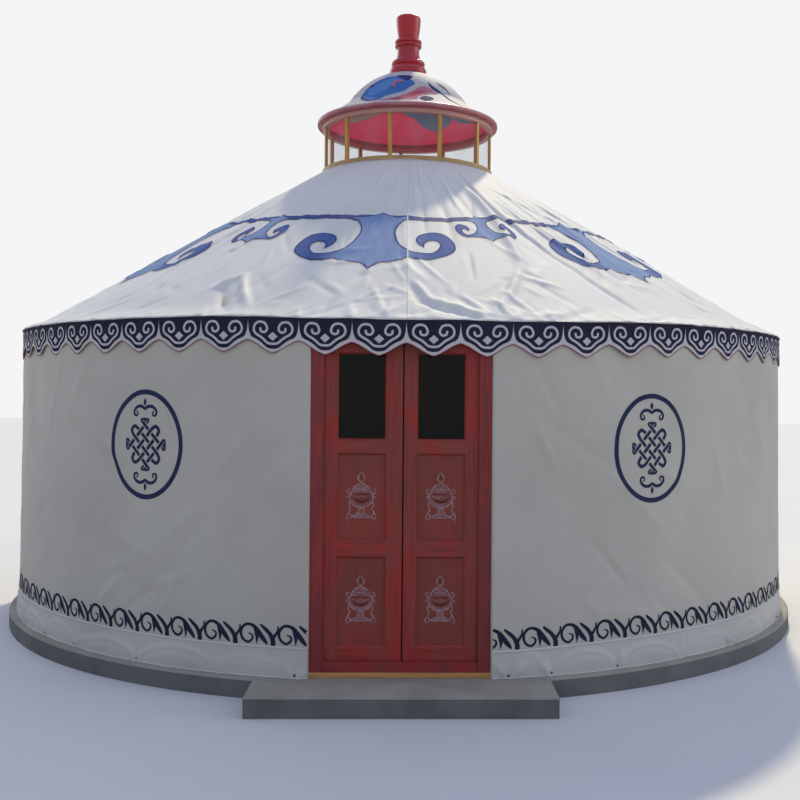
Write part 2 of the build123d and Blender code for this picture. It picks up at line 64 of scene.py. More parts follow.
# %% Camera
camera_place = Vector((0.0555, -8.0244, 1.5541))
camera_yaw, camera_pitch, camera_roll = 0.0273, -0.0045, 0.0084
forward = Vector((math.sin(camera_yaw), math.cos(camera_yaw), camera_pitch)).normalized()
level = Vector((math.cos(camera_yaw), -math.sin(camera_yaw), 0))
right = level * math.cos(camera_roll) + level.cross(forward) * math.sin(camera_roll)
up = right.cross(forward)
lens = bpy.data.cameras.new("photo_camera")
lens.lens, lens.sensor_width, lens.clip_end, lens.shift_x = 46.82, 36.0, 200, -0.0513
camera = bpy.data.objects.new("photo_camera", lens)
camera.matrix_world = Matrix.Translation(camera_place) @ Matrix((right, up, -forward)).transposed().to_4x4()
scene.collection.objects.link(camera)
scene.camera = camera
print("camera", tuple(round(v, 2) for v in camera_place), "lens", lens.lens)

# %% [markdown]
# ## Where the surfaces are
# The covers are surfaces of revolution, so two numbers say where a point is: its bearing, in degrees from
# the door towards +X, and its height or its distance from the axis. The CAD covers give the measures, and
# everything that lies on them, such as a print, is placed by the same functions as the cloth itself.

# %% Profiles read from the frame
def ring_profile(node):
    """Distances from the axis and heights of a node's corners."""
    corners = np.empty(len(nodes[node].data.vertices) * 3)
    nodes[node].data.vertices.foreach_get("co", corners)
    corners = corners.reshape(-1, 3)
    return np.hypot(corners[:, 0], corners[:, 1]), corners[:, 2]


def near(values, target, slack=0.0008):
    return np.abs(values - target) < slack


def around(bearing, radius, height):
    """Points at bearings in degrees, distances from the axis and heights."""
    turn = np.radians(bearing)
    return np.stack(np.broadcast_arrays(radius * np.sin(turn), -radius * np.cos(turn), height), axis=-1)


def unrolled(bearing, radius, up_cloth):
    """Places on a cloth laid flat: metres along it, at a radius, and metres up it."""
    return np.stack(np.broadcast_arrays(np.radians(bearing) * radius, up_cloth), axis=-1)


wall_radii, wall_heights = ring_profile("wall_cover_2")
foot_z = wall_heights.min()
foot_radius = wall_radii[near(wall_heights, foot_z)].max()
shoulder = near(wall_heights, wall_heights[wall_radii > wall_radii.min() + 0.02].max())
head_z, head_radius = wall_heights[shoulder].max(), wall_radii[shoulder].max()
roof_radii, roof_heights = ring_profile("roof_cover_2")
lap_radius = roof_radii.max()
lap_z = roof_heights[near(roof_radii, lap_radius)].max()
crown_radius = roof_radii.min()
crown_z = roof_heights[near(roof_radii, crown_radius)].max()
roof_slope = (crown_z - lap_z) / (crown_radius - lap_radius)
roof_angle = math.atan(-roof_slope)
door_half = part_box("door_right_jamb")[1].x
print("wall", round(foot_radius, 3), round(head_radius, 3), "roof angle", round(math.degrees(roof_angle), 1))

# %% [markdown]
# ## Creases
# Canvas over felt is never flat. Tension draws long shallow folds across it, and where it was packed and
# unfolded small creases stay. A noise texture gives neither, because a fold has a direction and two ends.
# So each crease here is a short line on the cloth, with a rounded cross-section that fades out at its ends,
# and a surface's relief is the sum of its creases. Prints use the same relief, so they stay on the cloth.

# %% Crease helpers
rng = np.random.default_rng(62)


def crease_relief(along, up_cloth, creases):
    """Height of the cloth above its plain surface, in metres, at points given in metres on the cloth."""
    along, up_cloth = np.broadcast_arrays(along, up_cloth)
    place = np.stack([along.ravel(), up_cloth.ravel()], axis=1)
    height = np.zeros(len(place))
    for x0, y0, x1, y1, width, rise in creases:
        start, run = np.array([x0, y0]), np.array([x1 - x0, y1 - y0])
        reach = place - start
        part = np.clip(reach @ run / (run @ run), 0, 1)
        gap = np.hypot(*(reach - part[:, None] * run).T)
        near_line = gap < 3 * width
        fade = np.sin(np.pi * part[near_line]) ** 0.8
        height[near_line] += rise * fade * np.exp(-0.5 * (gap[near_line] / width) ** 2)
    return height.reshape(along.shape)


def scatter_creases(half_round, kinds):
    """Seeded creases round a cloth. Each kind has a count, a lowest and a highest place, and the limits of
    its length, width, rise and lean."""
    made = []
    for count, low, high, length, width, rise, tilt in kinds:
        for _ in range(count):
            x, y = rng.uniform(-half_round, half_round), rng.uniform(low, high)
            run, lean = rng.uniform(*length), math.radians(rng.uniform(*tilt))
            made.append((x, y, x + run * math.cos(lean), y + run * math.sin(lean),
                         rng.uniform(*width), rng.choice((-1, 1)) * rng.uniform(*rise)))
    return made


# %% Wall and roof surfaces
wall_creases = scatter_creases(math.pi * foot_radius, (
    (120, 0.3, 1.75, (0.25, 0.8), (0.013, 0.026), (0.0025, 0.0065), (25, 70)),
    (90, 0.3, 1.75, (0.25, 0.8), (0.013, 0.026), (0.0022, 0.0055), (110, 155)),
    (26, 0.3, 1.5, (0.8, 1.6), (0.05, 0.11), (0.006, 0.012), (15, 165))))
wall_creases += [(1.02, 0.80, 1.46, 0.36, 0.018, -0.0085), (1.12, 0.74, 1.40, 0.40, 0.015, 0.0070),
                 (1.50, 0.70, 1.95, 0.32, 0.022, -0.0060), (0.98, 0.44, 1.50, 0.35, 0.018, 0.0045),
                 (-1.84, 0.36, -1.60, 0.58, 0.016, 0.0085), (-2.14, 0.34, -2.22, 0.58, 0.018, 0.0060),
                 (-1.62, 0.35, -1.34, 0.54, 0.016, -0.0080), (-1.42, 0.50, -1.12, 0.62, 0.015, 0.0075),
                 (-1.34, 0.38, -1.20, 0.60, 0.018, 0.0080), (-1.80, 0.56, -1.50, 0.66, 0.016, 0.0055),
                 (-2.0, 0.90, -1.2, 0.60, 0.026, 0.0045)]


def wall_point(bearing, height, lift=0.0, relief=True):
    """A point on the canvas of the wall."""
    bearing, height = np.broadcast_arrays(np.asarray(bearing, float), np.asarray(height, float))
    radius = foot_radius + (head_radius - foot_radius) * (height - foot_z) / (head_z - foot_z) + lift
    if relief:
        radius = radius + crease_relief(np.radians(bearing) * foot_radius, height, wall_creases)
    return around(bearing, radius, height)


eave_round = math.pi * lap_radius
roof_creases = scatter_creases(eave_round, (
    (330, 1.95, 2.70, (0.10, 0.42), (0.011, 0.020), (0.0025, 0.0075), (0, 180)),
    (130, 1.2, 2.2, (0.2, 0.7), (0.012, 0.024), (0.0020, 0.0060), (40, 140)),
    (90, 0.72, 1.5, (0.5, 1.3), (0.018, 0.034), (0.003, 0.008), (84, 96))))


def roof_fold(bearing, radius, to_bearing, to_radius, width, rise):
    """A crease between two places on the roof, each a bearing and a distance from the axis."""
    return (math.radians(bearing) * lap_radius, radius, math.radians(to_bearing) * lap_radius, to_radius,
            width, rise)


fold_depth, ruffle_foot = 1.35, 2.76
for *ends, width, rise in (
        (21.3, 1.02, 21.4, 1.66, 0.050, 0.020), (21.5, 1.50, 18.2, 2.24, 0.040, 0.018),
        (18.6, 2.12, 9.4, 2.72, 0.022, 0.013), (0.3, 2.34, 2.4, 2.60, 0.014, -0.013),
        (1.8, 2.54, 5.3, 2.67, 0.014, -0.014), (4.6, 2.63, 9.0, 2.74, 0.014, -0.013),
        (1.4, 2.34, 3.6, 2.58, 0.013, 0.010), (3.0, 2.52, 9.6, 2.70, 0.014, 0.010),
        (-2.2, 2.10, 0.9, 2.44, 0.009, 0.005), (0.5, 2.38, 3.1, 2.64, 0.009, 0.005),
        (1.2, 2.03, 6.0, 2.39, 0.009, 0.006), (10.9, 1.99, 9.4, 2.34, 0.012, -0.007),
        (-4.3, 2.37, -1.5, 2.73, 0.009, 0.006), (-6.5, 2.56, 0.8, 2.51, 0.008, 0.004),
        (-6.1, 2.55, 0.6, 2.36, 0.008, 0.004), (-24.2, 2.23, -18.0, 2.64, 0.018, 0.020),
        (-23.6, 2.25, -26.6, 2.42, 0.016, 0.014), (-25.4, 2.36, -20.2, 2.70, 0.022, -0.016),
        (-24.9, 1.87, -21.4, 2.22, 0.010, 0.004), (-32.0, 2.10, -35.7, 1.62, 0.012, 0.005),
        (-34.8, 2.01, -26.7, 1.64, 0.012, 0.004), (25.5, 0.80, 23.4, 1.30, 0.028, -0.012),
        (23.2, 1.05, 24.7, 1.64, 0.024, -0.018), (24.5, 1.50, 27.4, 2.14, 0.022, -0.017),
        (28.5, 1.20, 33.5, 2.30, 0.024, 0.010), (32.0, 1.00, 44.0, 1.56, 0.020, 0.007),
        (30.5, 1.35, 37.0, 2.45, 0.015, -0.008), (38.0, 1.10, 41.0, 2.50, 0.015, 0.006),
        (27.2, 2.05, 31.0, 2.68, 0.020, -0.011), (47.0, 1.00, 52.0, 2.55, 0.016, 0.007),
        (16.0, 2.25, 22.3, 2.38, 0.014, 0.008), (12.6, 2.42, 15.6, 2.70, 0.014, 0.009),
        (10.6, 2.50, 12.4, 2.73, 0.012, 0.010), (7.0, 2.48, 10.4, 2.72, 0.012, 0.008),
        (14.5, 0.9, 13.4, 1.44, 0.018, 0.006), (5.8, 0.72, 5.1, 1.30, 0.014, 0.005),
        (-9.0, 0.75, -10.5, 1.48, 0.016, 0.004)):
    roof_creases.append(roof_fold(*ends, width, rise * fold_depth))
for bearing in np.arange(36, 344, 6.5):
    high, low, lean = rng.uniform(0.75, 1.2), rng.uniform(2.0, 2.66), rng.uniform(-2, 2)
    shown = 1.0 if bearing < 180 else 0.55
    roof_creases.append(roof_fold(bearing, high, bearing + lean, low, rng.uniform(0.016, 0.028),
                                  shown * rng.uniform(0.006, 0.010)))
    roof_creases.append(roof_fold(bearing + 3.1, high + 0.1, bearing + 3.1 + lean, low, 0.017,
                                  -shown * rng.uniform(0.004, 0.007)))
for start in np.linspace(-eave_round, eave_round, 190):
    drift = rng.uniform(-0.05, 0.05, 2)
    roof_creases.append((start + drift[0], ruffle_foot, start + drift[0] + drift[1],
                         ruffle_foot - rng.uniform(0.10, 0.24), rng.uniform(0.011, 0.018),
                         rng.uniform(0.003, 0.008)))
roof_creases = [(a - turn, b, c - turn, d, width, rise) for a, b, c, d, width, rise in roof_creases
                for turn in ((0, 2 * eave_round) if max(a, c) > eave_round else (0,))]
print("creases:", len(wall_creases), "on the wall,", len(roof_creases), "on the roof")

hem_radius, lip_start, lip_gap = lap_radius + 0.0165, 2.54, 0.003
eave_level, eave_dip = 1.963, 0.0215


def eave_height(bearing):
    """The height of the eave, which dips a little over the door."""
    bearing = (np.asarray(bearing, float) + 180) % 360 - 180
    return eave_level - eave_dip * np.exp(-((bearing - 5) / 20) ** 4)


def roof_point(bearing, radius, lift=0.0):
    """A point on the canvas of the roof. The creases are laid out by bearing at the eave and by distance."""
    bearing, radius = np.broadcast_arrays(np.asarray(bearing, float), np.asarray(radius, float))
    bearing = (bearing + 180) % 360 - 180
    rise = lift + crease_relief(np.radians(bearing) * lap_radius, radius, roof_creases)
    height = lap_z + roof_slope * (radius - lap_radius) + rise * math.cos(roof_angle)
    lip = np.clip((radius - lip_start) / (hem_radius - lip_start), 0, 1) ** 2
    height = height + lip * (eave_height(bearing) + lip_gap - lap_z - roof_slope * (hem_radius - lap_radius))
    return around(bearing, radius + rise * math.sin(roof_angle), height)


# %% [markdown]
# ## Building pieces from arrays
# A canvas has tens of thousands of corners, and a print is copied dozens of times. Arrays of corners and
# faces, handed to Blender in one go, are much faster than adding them one by one. Each piece gets its
# material and the CAD body that carries it in the same step.

# %% Piece helpers
def make_piece(name, corners, faces, finish, body="yurt", slot=None, smooth=True, cloth_place=None,
               printed=False):
    """A mesh with its finish and body; the slot is not used. A print throws no shadow, because it is part of its
    cloth.
    """
    mesh = bpy.data.meshes.new(name)
    mesh.from_pydata(np.asarray(corners, float).reshape(-1, 3).tolist(), [], np.asarray(faces).tolist())
    mesh.polygons.foreach_set("use_smooth", [smooth] * len(mesh.polygons))
    if cloth_place is not None:
        layer = mesh.attributes.new("cloth_place", "FLOAT_VECTOR", "POINT")
        flat = np.zeros((len(mesh.vertices), 3))
        flat[:, :2] = np.reshape(cloth_place, (-1, 2))
        layer.data.foreach_set("vector", flat.ravel())
    mesh.materials.append(finish)
    mesh.validate()
    mesh.update()
    piece = bpy.data.objects.new(name, mesh)
    scene.collection.objects.link(piece)
    if body:
        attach(piece, body)
    piece.visible_shadow = not printed
    return piece


def grid_faces(rows, columns, closed=False):
    """Four-sided faces between the corners of a grid whose rows run round."""
    spans = columns if closed else columns - 1
    low, left = np.meshgrid(np.arange(rows - 1), np.arange(spans), indexing="ij")
    after = (left + 1) % columns
    corner = low * columns
    return np.stack([corner + left, corner + after, corner + columns + after, corner + columns + left],
                    axis=-1).reshape(-1, 4)


def tube_faces(sides, columns, closed=False):
    """Faces of a cord whose rows of corners are its sides."""
    return grid_faces(sides + 1, columns, closed) % (sides * columns)


def dress(finish, *names):
    """Puts a finish on parts that come from CAD."""
    for name in names:
        nodes[name].data.materials[0] = finish


# %% [markdown]
# ## Finishes
# Every surface gets a material made of nodes: colour that varies, roughness, and a fine bump. The classes
# below only save writing. Most of their methods add a node or two and give back an output.

# %% Finish helpers
class Tree:
    def __init__(self, tree):
        self.tree = tree

    def add(self, kind, out=0, inputs=None, **settings):
        node = self.tree.nodes.new(kind)
        for key, value in settings.items():
            setattr(node, key, value)
        for key, value in (inputs or {}).items():
            self.give(node.inputs[key], value)
        return node.outputs[out]

    def give(self, socket, value):
        if isinstance(value, bpy.types.NodeSocket):
            self.tree.links.new(value, socket)
        else:
            socket.default_value = value

    def axis(self, letter, vector):
        return self.add("ShaderNodeSeparateXYZ", letter, inputs={"Vector": vector})

    def math(self, operation, first, second=0.0):
        return self.add("ShaderNodeMath", operation=operation, inputs={0: first, 1: second})

    def mix(self, amount, first, second):
        first, second = [value if isinstance(value, bpy.types.NodeSocket) else (*value, 1)
                         for value in (first, second)]
        return self.add("ShaderNodeMix", 2, data_type="RGBA", inputs={0: amount, 6: first, 7: second})


class Finish(Tree):
    def __init__(self, name, colour, roughness, **settings):
        self.material = bpy.data.materials.new(name)
        self.material.use_nodes = True
        super().__init__(self.material.node_tree)
        self.shader = self.tree.nodes["Principled BSDF"]
        self.set("Base Color", (*colour, 1)).set("Roughness", roughness)
        for socket, value in settings.items():
            self.set(socket.replace("_", " "), value)

    def set(self, socket, value):
        self.give(self.shader.inputs[socket], value)
        return self

    def place(self, stretch=(1, 1, 1)):
        start = self.add("ShaderNodeTexCoord", "Object")
        return self.add("ShaderNodeMapping", inputs={"Vector": start, "Scale": stretch})

    def cloth(self, stretch=(1, 1, 1), turn=0.0):
        start = self.add("ShaderNodeAttribute", "Vector", attribute_name="cloth_place")
        return self.add("ShaderNodeMapping", inputs={"Vector": start, "Scale": stretch, "Rotation": (0, 0, turn)})

    def facing_up(self):
        return self.axis("Z", self.add("ShaderNodeTexCoord", "Normal"))

    def noise(self, vector, scale, detail=4.0, rough=0.55, warp=0.0):
        return self.add("ShaderNodeTexNoise", "Fac", inputs={
            "Vector": vector, "Scale": scale, "Detail": detail, "Roughness": rough, "Distortion": warp})

    def spots(self, scale, detail=4.0, rough=0.55, warp=0.0):
        return self.noise(self.place(), scale, detail, rough, warp)

    def streaks(self, stretch, detail=4.0, rough=0.55, warp=0.0):
        return self.noise(self.place(stretch), 1.0, detail, rough, warp)

    def ramp(self, value, low, high, start=0.0, end=1.0):
        return self.add("ShaderNodeMapRange", "Result", interpolation_type="SMOOTHSTEP", inputs={
            "Value": value, "From Min": low, "From Max": high, "To Min": start, "To Max": end})

    def bump(self, height, distance, strength=1.0, under=None):
        inputs = {"Height": height, "Distance": distance, "Strength": strength}
        if under:
            inputs["Normal"] = under
        return self.add("ShaderNodeBump", "Normal", inputs=inputs)

    def see_through(self, tint, opaque_share):
        """Lets light through with a tint, but for an opaque share: faint cloud on film, painted shade on dark
        glass.
        """
        clear = self.add("ShaderNodeBsdfTransparent", inputs={"Color": (*tint, 1)})
        pane = self.add("ShaderNodeMixShader", inputs={0: opaque_share, 1: clear, 2: self.shader.outputs[0]})
        self.give(self.tree.nodes["Material Output"].inputs["Surface"], pane)
# %% [markdown]
# ## Canvas
# Tent canvas is a plain weave with a thin coating. From a few metres its weave is only a slight tooth. What
# shows is the crumple left from packing, a faint sheen on the folds and a little dust towards the ground.
# The crumple is three sets of fine ridges that cross at a slant and come and go over the cloth.

# %% Canvas finishes
def canvas(name, colour, dusty, crumple, crumple_size=5.0, dust_height=None):
    """Canvas that turns dusty in patches, with ridges as high as crumple says."""
    cloth = Finish(name, colour, 0.66, Sheen_Weight=0.06, Sheen_Roughness=0.5, Specular_IOR_Level=0.3)
    place = cloth.place()
    ridges = None
    for turn, share in ((0.55, 1.0), (-0.75, 0.7), (1.35, 0.5)):
        stretched = cloth.cloth((crumple_size, crumple_size * 0.36, 1), turn)
        ridge = cloth.add("ShaderNodeTexNoise", "Fac", noise_type="RIDGED_MULTIFRACTAL", inputs={
            "Vector": stretched, "Scale": 1.0, "Detail": 2.5, "Roughness": 0.55, "Distortion": 0.5})
        ridge = cloth.math("MULTIPLY", ridge, share * 0.35)
        ridges = ridge if ridges is None else cloth.math("ADD", ridges, ridge)
    calm = cloth.ramp(cloth.noise(place, 1.3, 3.0), 0.35, 0.65, 0.25, 1.0)
    folds = cloth.bump(cloth.math("MULTIPLY", ridges, calm), crumple)
    patches = cloth.noise(place, 1.6, 5.0, 0.6)
    shade = cloth.mix(cloth.ramp(patches, 0.35, 0.75), colour, dusty)
    if dust_height:
        low = cloth.ramp(cloth.axis("Z", place), *dust_height, 0.55, 0.0)
        shade = cloth.mix(cloth.math("MULTIPLY", low, patches), shade, [c * 0.72 for c in dusty])
    cloth.set("Base Color", shade)
    weave = cloth.noise(cloth.cloth((420, 420, 1)), 1.0, 2.0, 0.5)
    return cloth.set("Normal", cloth.bump(weave, 0.0003, 0.4, folds)).material


# The wall's canvas is greyer than the roof's, though it is the same cloth: painted shade for the wall in shade.
wall_canvas = canvas("wall_canvas", (0.655, 0.64, 0.585), (0.60, 0.58, 0.53), 0.0048, 3.2, (0.1, 0.5))
roof_canvas = canvas("roof_canvas", (0.84, 0.84, 0.83), (0.77, 0.77, 0.76), 0.0105, 6.0)
skirt_canvas = canvas("skirt_canvas", (0.68, 0.675, 0.66), (0.59, 0.585, 0.57), 0.0030, 6.0, (0.1, 0.2))
felt_lining = canvas("felt_lining", (0.62, 0.59, 0.53), (0.52, 0.49, 0.43), 0.0020)
trim_white = canvas("trim_white", (0.70, 0.70, 0.73), (0.62, 0.62, 0.65), 0.0006)
seam_white = canvas("seam_white", (0.88, 0.88, 0.88), (0.82, 0.82, 0.82), 0.0006)
print("canvas finishes made")

# %% [markdown]
# ## Wall canvas and lining
# One long canvas runs round the wall from one door jamb to the other. Its two ends turn in beside the
# jambs, and a short piece covers the wall over the door. Inside, a felt lining shows between the laths.

# %% Wall canvas
jamb_bearing = math.degrees(math.asin(door_half / head_radius))
clearance, turned_in, end_strip = 0.002, 0.022, 0.02
wall_top = head_z - clearance
columns, rows = 760, 96
bearings = np.interp(np.linspace(0, 9, columns), [0, 3, 6, 9], [jamb_bearing, 85, 275, 360 - jamb_bearing])
heights = np.linspace(foot_z, wall_top, rows)[:, None]
points = wall_point(np.where(bearings > 180, bearings - 360, bearings), heights)
inward = wall_point(bearings[[0, -1]], heights, -turned_in, relief=False)
points = np.concatenate([inward[:, :1], points, inward[:, 1:]], axis=1)
places = unrolled(bearings, foot_radius, heights)
places = np.concatenate([places[:, :1] - (end_strip, 0), places, places[:, -1:] + (end_strip, 0)], axis=1)
wall_cover = make_piece("wall_canvas", points, grid_faces(rows, columns + 2), wall_canvas,
                        slot="wall_canvas", cloth_place=places)

# %% Lining of the wall and canvas over the door
lining_radius = wall_radii[near(wall_heights, foot_z)].min()
lining_top = wall_radii[near(wall_heights, wall_heights.max())].min()
columns, rows = 361, 13
bearings = np.linspace(jamb_bearing, 360 - jamb_bearing, columns)
heights = np.linspace(foot_z, wall_heights.max() - clearance, rows)
radii = np.interp(heights, [foot_z, wall_heights.max()], [lining_radius, lining_top]) + clearance
wall_lining = make_piece("wall_lining", around(bearings, radii[:, None], heights[:, None]),
                         grid_faces(rows, columns), felt_lining, slot="wall_canvas",
                         cloth_place=unrolled(bearings, lining_radius, heights[:, None]))
over_low, over_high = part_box("wall_cover_over_door")
columns, rows = 40, 5
bearings = np.linspace(-jamb_bearing, jamb_bearing, columns)
heights = np.linspace(over_low.z, min(over_high.z, wall_top), rows)[:, None]
under = wall_point(bearings, over_low.z, -turned_in, relief=False)
points = np.concatenate([under[None], wall_point(bearings, heights, relief=False)])
places = unrolled(bearings, foot_radius, heights)
over_door = make_piece("canvas_over_door", points, grid_faces(rows + 1, columns), wall_canvas, slot="wall_canvas",
                       cloth_place=np.concatenate([places[:1] - (0, end_strip), places]))
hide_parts(*[f"wall_cover_{i}" for i in range(1, 7)])
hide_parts("wall_cover_over_door")
print("wall lining and the canvas over the door")

# %% [markdown]
# ## Roof canvas and lining
# The roof is one round canvas, cut as a sector and sewn into a cone. It lies over felt and poles, is tucked
# in at the crown and laps a little over the eave. A seam runs down its front.

# %% Roof canvas
columns, rows = 860, 112
tuck_gap, tuck_depth = 0.001, 0.02
bearings = np.interp(np.linspace(0, 262, columns, endpoint=False), [0, 49, 213, 262], [-180, -82, 82, 180])
radii = crown_radius + tuck_gap + (hem_radius - crown_radius - tuck_gap) * np.linspace(0, 1, rows) ** 0.82
points = roof_point(bearings, radii[:, None])
tuck = points[0] - (0, 0, tuck_depth)
hem_wave = np.interp(bearings, np.linspace(-180, 180, 161), [*rng.uniform(0.0005, 0.0055, 160), 0.003])
hem = []
for out, down in ((0.0022, 0.5), (0.0022, 1.0), (-0.0015, 1.0)):
    edge = points[-1].copy()
    edge[:, :2] *= (hem_radius + out) / hem_radius
    edge[:, 2] = edge[:, 2] * (1 - down) + (eave_height(bearings) - hem_wave) * down
    hem.append(edge)
places = unrolled(bearings, lap_radius, radii[:, None])
roof_cover = make_piece("roof_canvas", np.concatenate([tuck[None], points, np.array(hem)]),
                        grid_faces(rows + 4, columns, closed=True)[:, ::-1], roof_canvas, slot="roof_canvas",
                        cloth_place=np.concatenate([places[:1], places, *[places[-1:]] * 3]))
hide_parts(*[f"roof_cover_{i}" for i in range(1, 7)])

# %% Lining of the roof
columns, rows = 360, 14
bearings = np.linspace(-180, 180, columns, endpoint=False)
radii = np.linspace(crown_radius + tuck_gap, lap_radius - 0.03, rows)[:, None]
roof_thickness = np.ptp(roof_heights[near(roof_radii, crown_radius)])
heights = lap_z + roof_slope * (radii - lap_radius) - roof_thickness + clearance
roof_lining = make_piece("roof_lining", around(bearings, radii, heights),
                         grid_faces(rows, columns, closed=True), felt_lining, slot="roof_canvas",
                         cloth_place=unrolled(bearings, lap_radius, radii))

# %% [markdown]
# ## Skirt
# A separate strip closes the wall's foot against draughts. It is sewn on under the border and pinned to the
# plinth every forty centimetres or so. Between the pins it bellies out under a hanging arc, as any cloth
# does between two nails, and short folds fan out upward from each pin.

# %% Skirt
skirt_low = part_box("skirt")[0]
columns, rows = 1200, 24
pins = np.concatenate([[-19.8, -11.2, 11.7, 16.6, 24.9, 34.4, 44.5, 53.9, -31.1, -42.7],
                       np.arange(63, 310, 8.8)])
pins = np.sort(np.where(pins < 0, pins + 360, pins))
seam_level, seam_dip = 0.2535, 0.015
skirt_gap, belly_depth, roll_depth, roll_width = 0.003, 0.012, 0.009, 0.085
arc_low, arc_width = 0.16, 0.26
hem_half_height, hem_half_depth = 0.004, 0.0035


def seam_height(bearing):
    """Where the skirt's seam lies: level, but for a dip to the right of the door."""
    return seam_level - seam_dip * np.exp(-((np.asarray(bearing, float) - 11) / 9) ** 2)


bearings = np.linspace(jamb_bearing + 0.05, 360 - jamb_bearing - 0.05, columns)
share = np.linspace(0, 1, rows)[:, None]
grid_height = skirt_low.z + share * (seam_height(bearings) - skirt_low.z)
fan = []
for pin in np.radians(pins) * foot_radius:
    for _ in range(4):
        lean, run = rng.uniform(-1.0, 1.0), rng.uniform(0.07, 0.15)
        fan.append((pin, skirt_low.z - 0.02, pin + run * math.sin(lean), skirt_low.z + run * math.cos(lean),
                    rng.uniform(0.007, 0.011), rng.uniform(0.004, 0.008)))
after = np.clip(np.searchsorted(pins, bearings), 1, len(pins) - 1)
between = np.clip((bearings - pins[after - 1]) / (pins[after] - pins[after - 1]), 0, 1)
skew, fullness, tall = [rng.uniform(*ends, len(pins) + 1)[after]
                        for ends in ((0.65, 1.5), (0.4, 1.2), (0.40, 0.68))]
hang = np.sin(math.pi * between ** skew)
arc = arc_low + tall * hang ** 0.8
under_arc = np.clip((arc - share) / arc_width, 0, 1)
belly = under_arc ** 2 * (3 - 2 * under_arc) * hang ** 0.5
roll = np.exp(-0.5 * ((share - arc) / roll_width) ** 2) * hang ** 0.4
pulled = np.maximum(crease_relief(np.radians(bearings) * foot_radius, grid_height, fan), -0.002)
out = skirt_gap + fullness * (belly_depth * belly + roll_depth * roll) + pulled * (1 - share ** 3)
skirt = make_piece("skirt_cloth", wall_point(bearings, grid_height, out), grid_faces(rows, columns),
                   skirt_canvas, slot="skirt_canvas", cloth_place=unrolled(bearings, foot_radius, grid_height))
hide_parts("skirt")
cord_turns = np.radians(np.arange(0, 360, 60))
hem = [wall_point(bearings, skirt_low.z + hem_half_height + hem_half_height * math.sin(a),
                  out[0] + hem_half_depth * math.cos(a)) for a in cord_turns]
make_piece("skirt_hem", hem, tube_faces(6, columns), trim_white, slot="skirt_canvas")
print("skirt with", len(fan), "short folds")

# %% Skirt seam and pins
seam_rows = [wall_point(bearings, seam_height(bearings) - down, lift)
             for down, lift in ((0.006, 0.0036), (0.002, 0.0062), (-0.004, 0.0062), (-0.008, 0.0024))]
make_piece("skirt_seam", seam_rows, grid_faces(4, columns), trim_white, slot="skirt_canvas")
pin_steel = Finish("pin_steel", (0.16, 0.155, 0.15), 0.5, Metallic=0.6)
pin_steel.set("Roughness", pin_steel.ramp(pin_steel.spots(300.0), 0.3, 0.7, 0.35, 0.7))
pin_height, pin_lift = skirt_low.z + 0.018, 0.009
pin_rings = ((0.0075, 0.0), (0.0070, 0.0025), (0.0035, 0.0040), (0.0002, 0.0045))
head_turn = np.radians(np.arange(0, 360, 30))
corners, faces = [], []
for pin in pins:
    middle = wall_point(pin, pin_height, pin_lift)
    outward = wall_point(pin, pin_height, pin_lift + 1) - middle
    aside = np.array([-outward[1], outward[0], 0])
    for radius, rise in pin_rings:
        corners.append([middle + aside * radius * math.cos(a) + np.array([0, 0, 1]) * radius * math.sin(a)
                        + outward * rise for a in head_turn])
    faces.append(grid_faces(4, 12, closed=True) + len(faces) * 48)
make_piece("skirt_pins", corners, np.concatenate(faces), pin_steel.material, slot="skirt_canvas")
print("skirt seam and heads of", len(pins), "pins")

# %% [markdown]
# ## Prints
# The patterns are printed on the cloth. Each motif is drawn once, as flat outlines in metres, is filled
# with triangles, and is then laid on the cloth as often as it repeats. Drawn lines are strokes: a smooth
# curve through a few points with a width at each. The prints stand one to five millimetres off the cloth,
# to stay above its folds, and they throw no shadow.

# %% Drawing helpers
def curve(points, per_span=5, closed=False):
    """A smooth line through the points (Catmull-Rom)."""
    points = np.asarray(points, float)
    count = len(points)
    spans = count if closed else count - 1
    made = []
    for i in range(spans):
        if closed:
            a, b, c, d = (points[(i + k) % count] for k in (-1, 0, 1, 2))
        else:
            a, b, c, d = (points[min(max(i + k, 0), count - 1)] for k in (-1, 0, 1, 2))
        for t in np.arange(per_span) / per_span:
            made.append(0.5 * (2 * b + (c - a) * t + (2 * a - 5 * b + 4 * c - d) * t * t
                               + (3 * b - a - 3 * c + d) * t ** 3))
    if not closed:
        made.append(points[-1])
    return np.array(made)


def stroke(points, widths, per_span=5):
    """The outline of a brush stroke through the points, as wide as widths says at each."""
    widths = widths if hasattr(widths, "__len__") else [widths] * len(points)
    line = curve([(*p, w) for p, w in zip(points, widths)], per_span)
    way = np.gradient(line[:, :2], axis=0)
    way /= np.linalg.norm(way, axis=1)[:, None] + 1e-12
    side = np.stack([-way[:, 1], way[:, 0]], axis=1) * line[:, 2:] / 2
    first = line[0, :2] - way[0] * line[0, 2] * 0.3
    last = line[-1, :2] + way[-1] * line[-1, 2] * 0.3
    return np.concatenate([[first], line[:, :2] + side, [last], (line[:, :2] - side)[::-1]])


def inside(points, loops):
    """Which points lie inside any of the closed outlines."""
    hit = np.zeros(len(points), bool)
    for loop in loops:
        a = np.asarray(loop, float)
        b = np.roll(a, -1, axis=0)
        x, y = points[:, :1], points[:, 1:2]
        crosses = (a[:, 1] > y) != (b[:, 1] > y)
        run = np.where(np.abs(b[:, 1] - a[:, 1]) < 1e-12, 1e-12, b[:, 1] - a[:, 1])
        crosses &= x < a[:, 0] + (y - a[:, 1]) * (b[:, 0] - a[:, 0]) / run
        hit |= np.sum(crosses, axis=1) % 2 == 1
    return hit


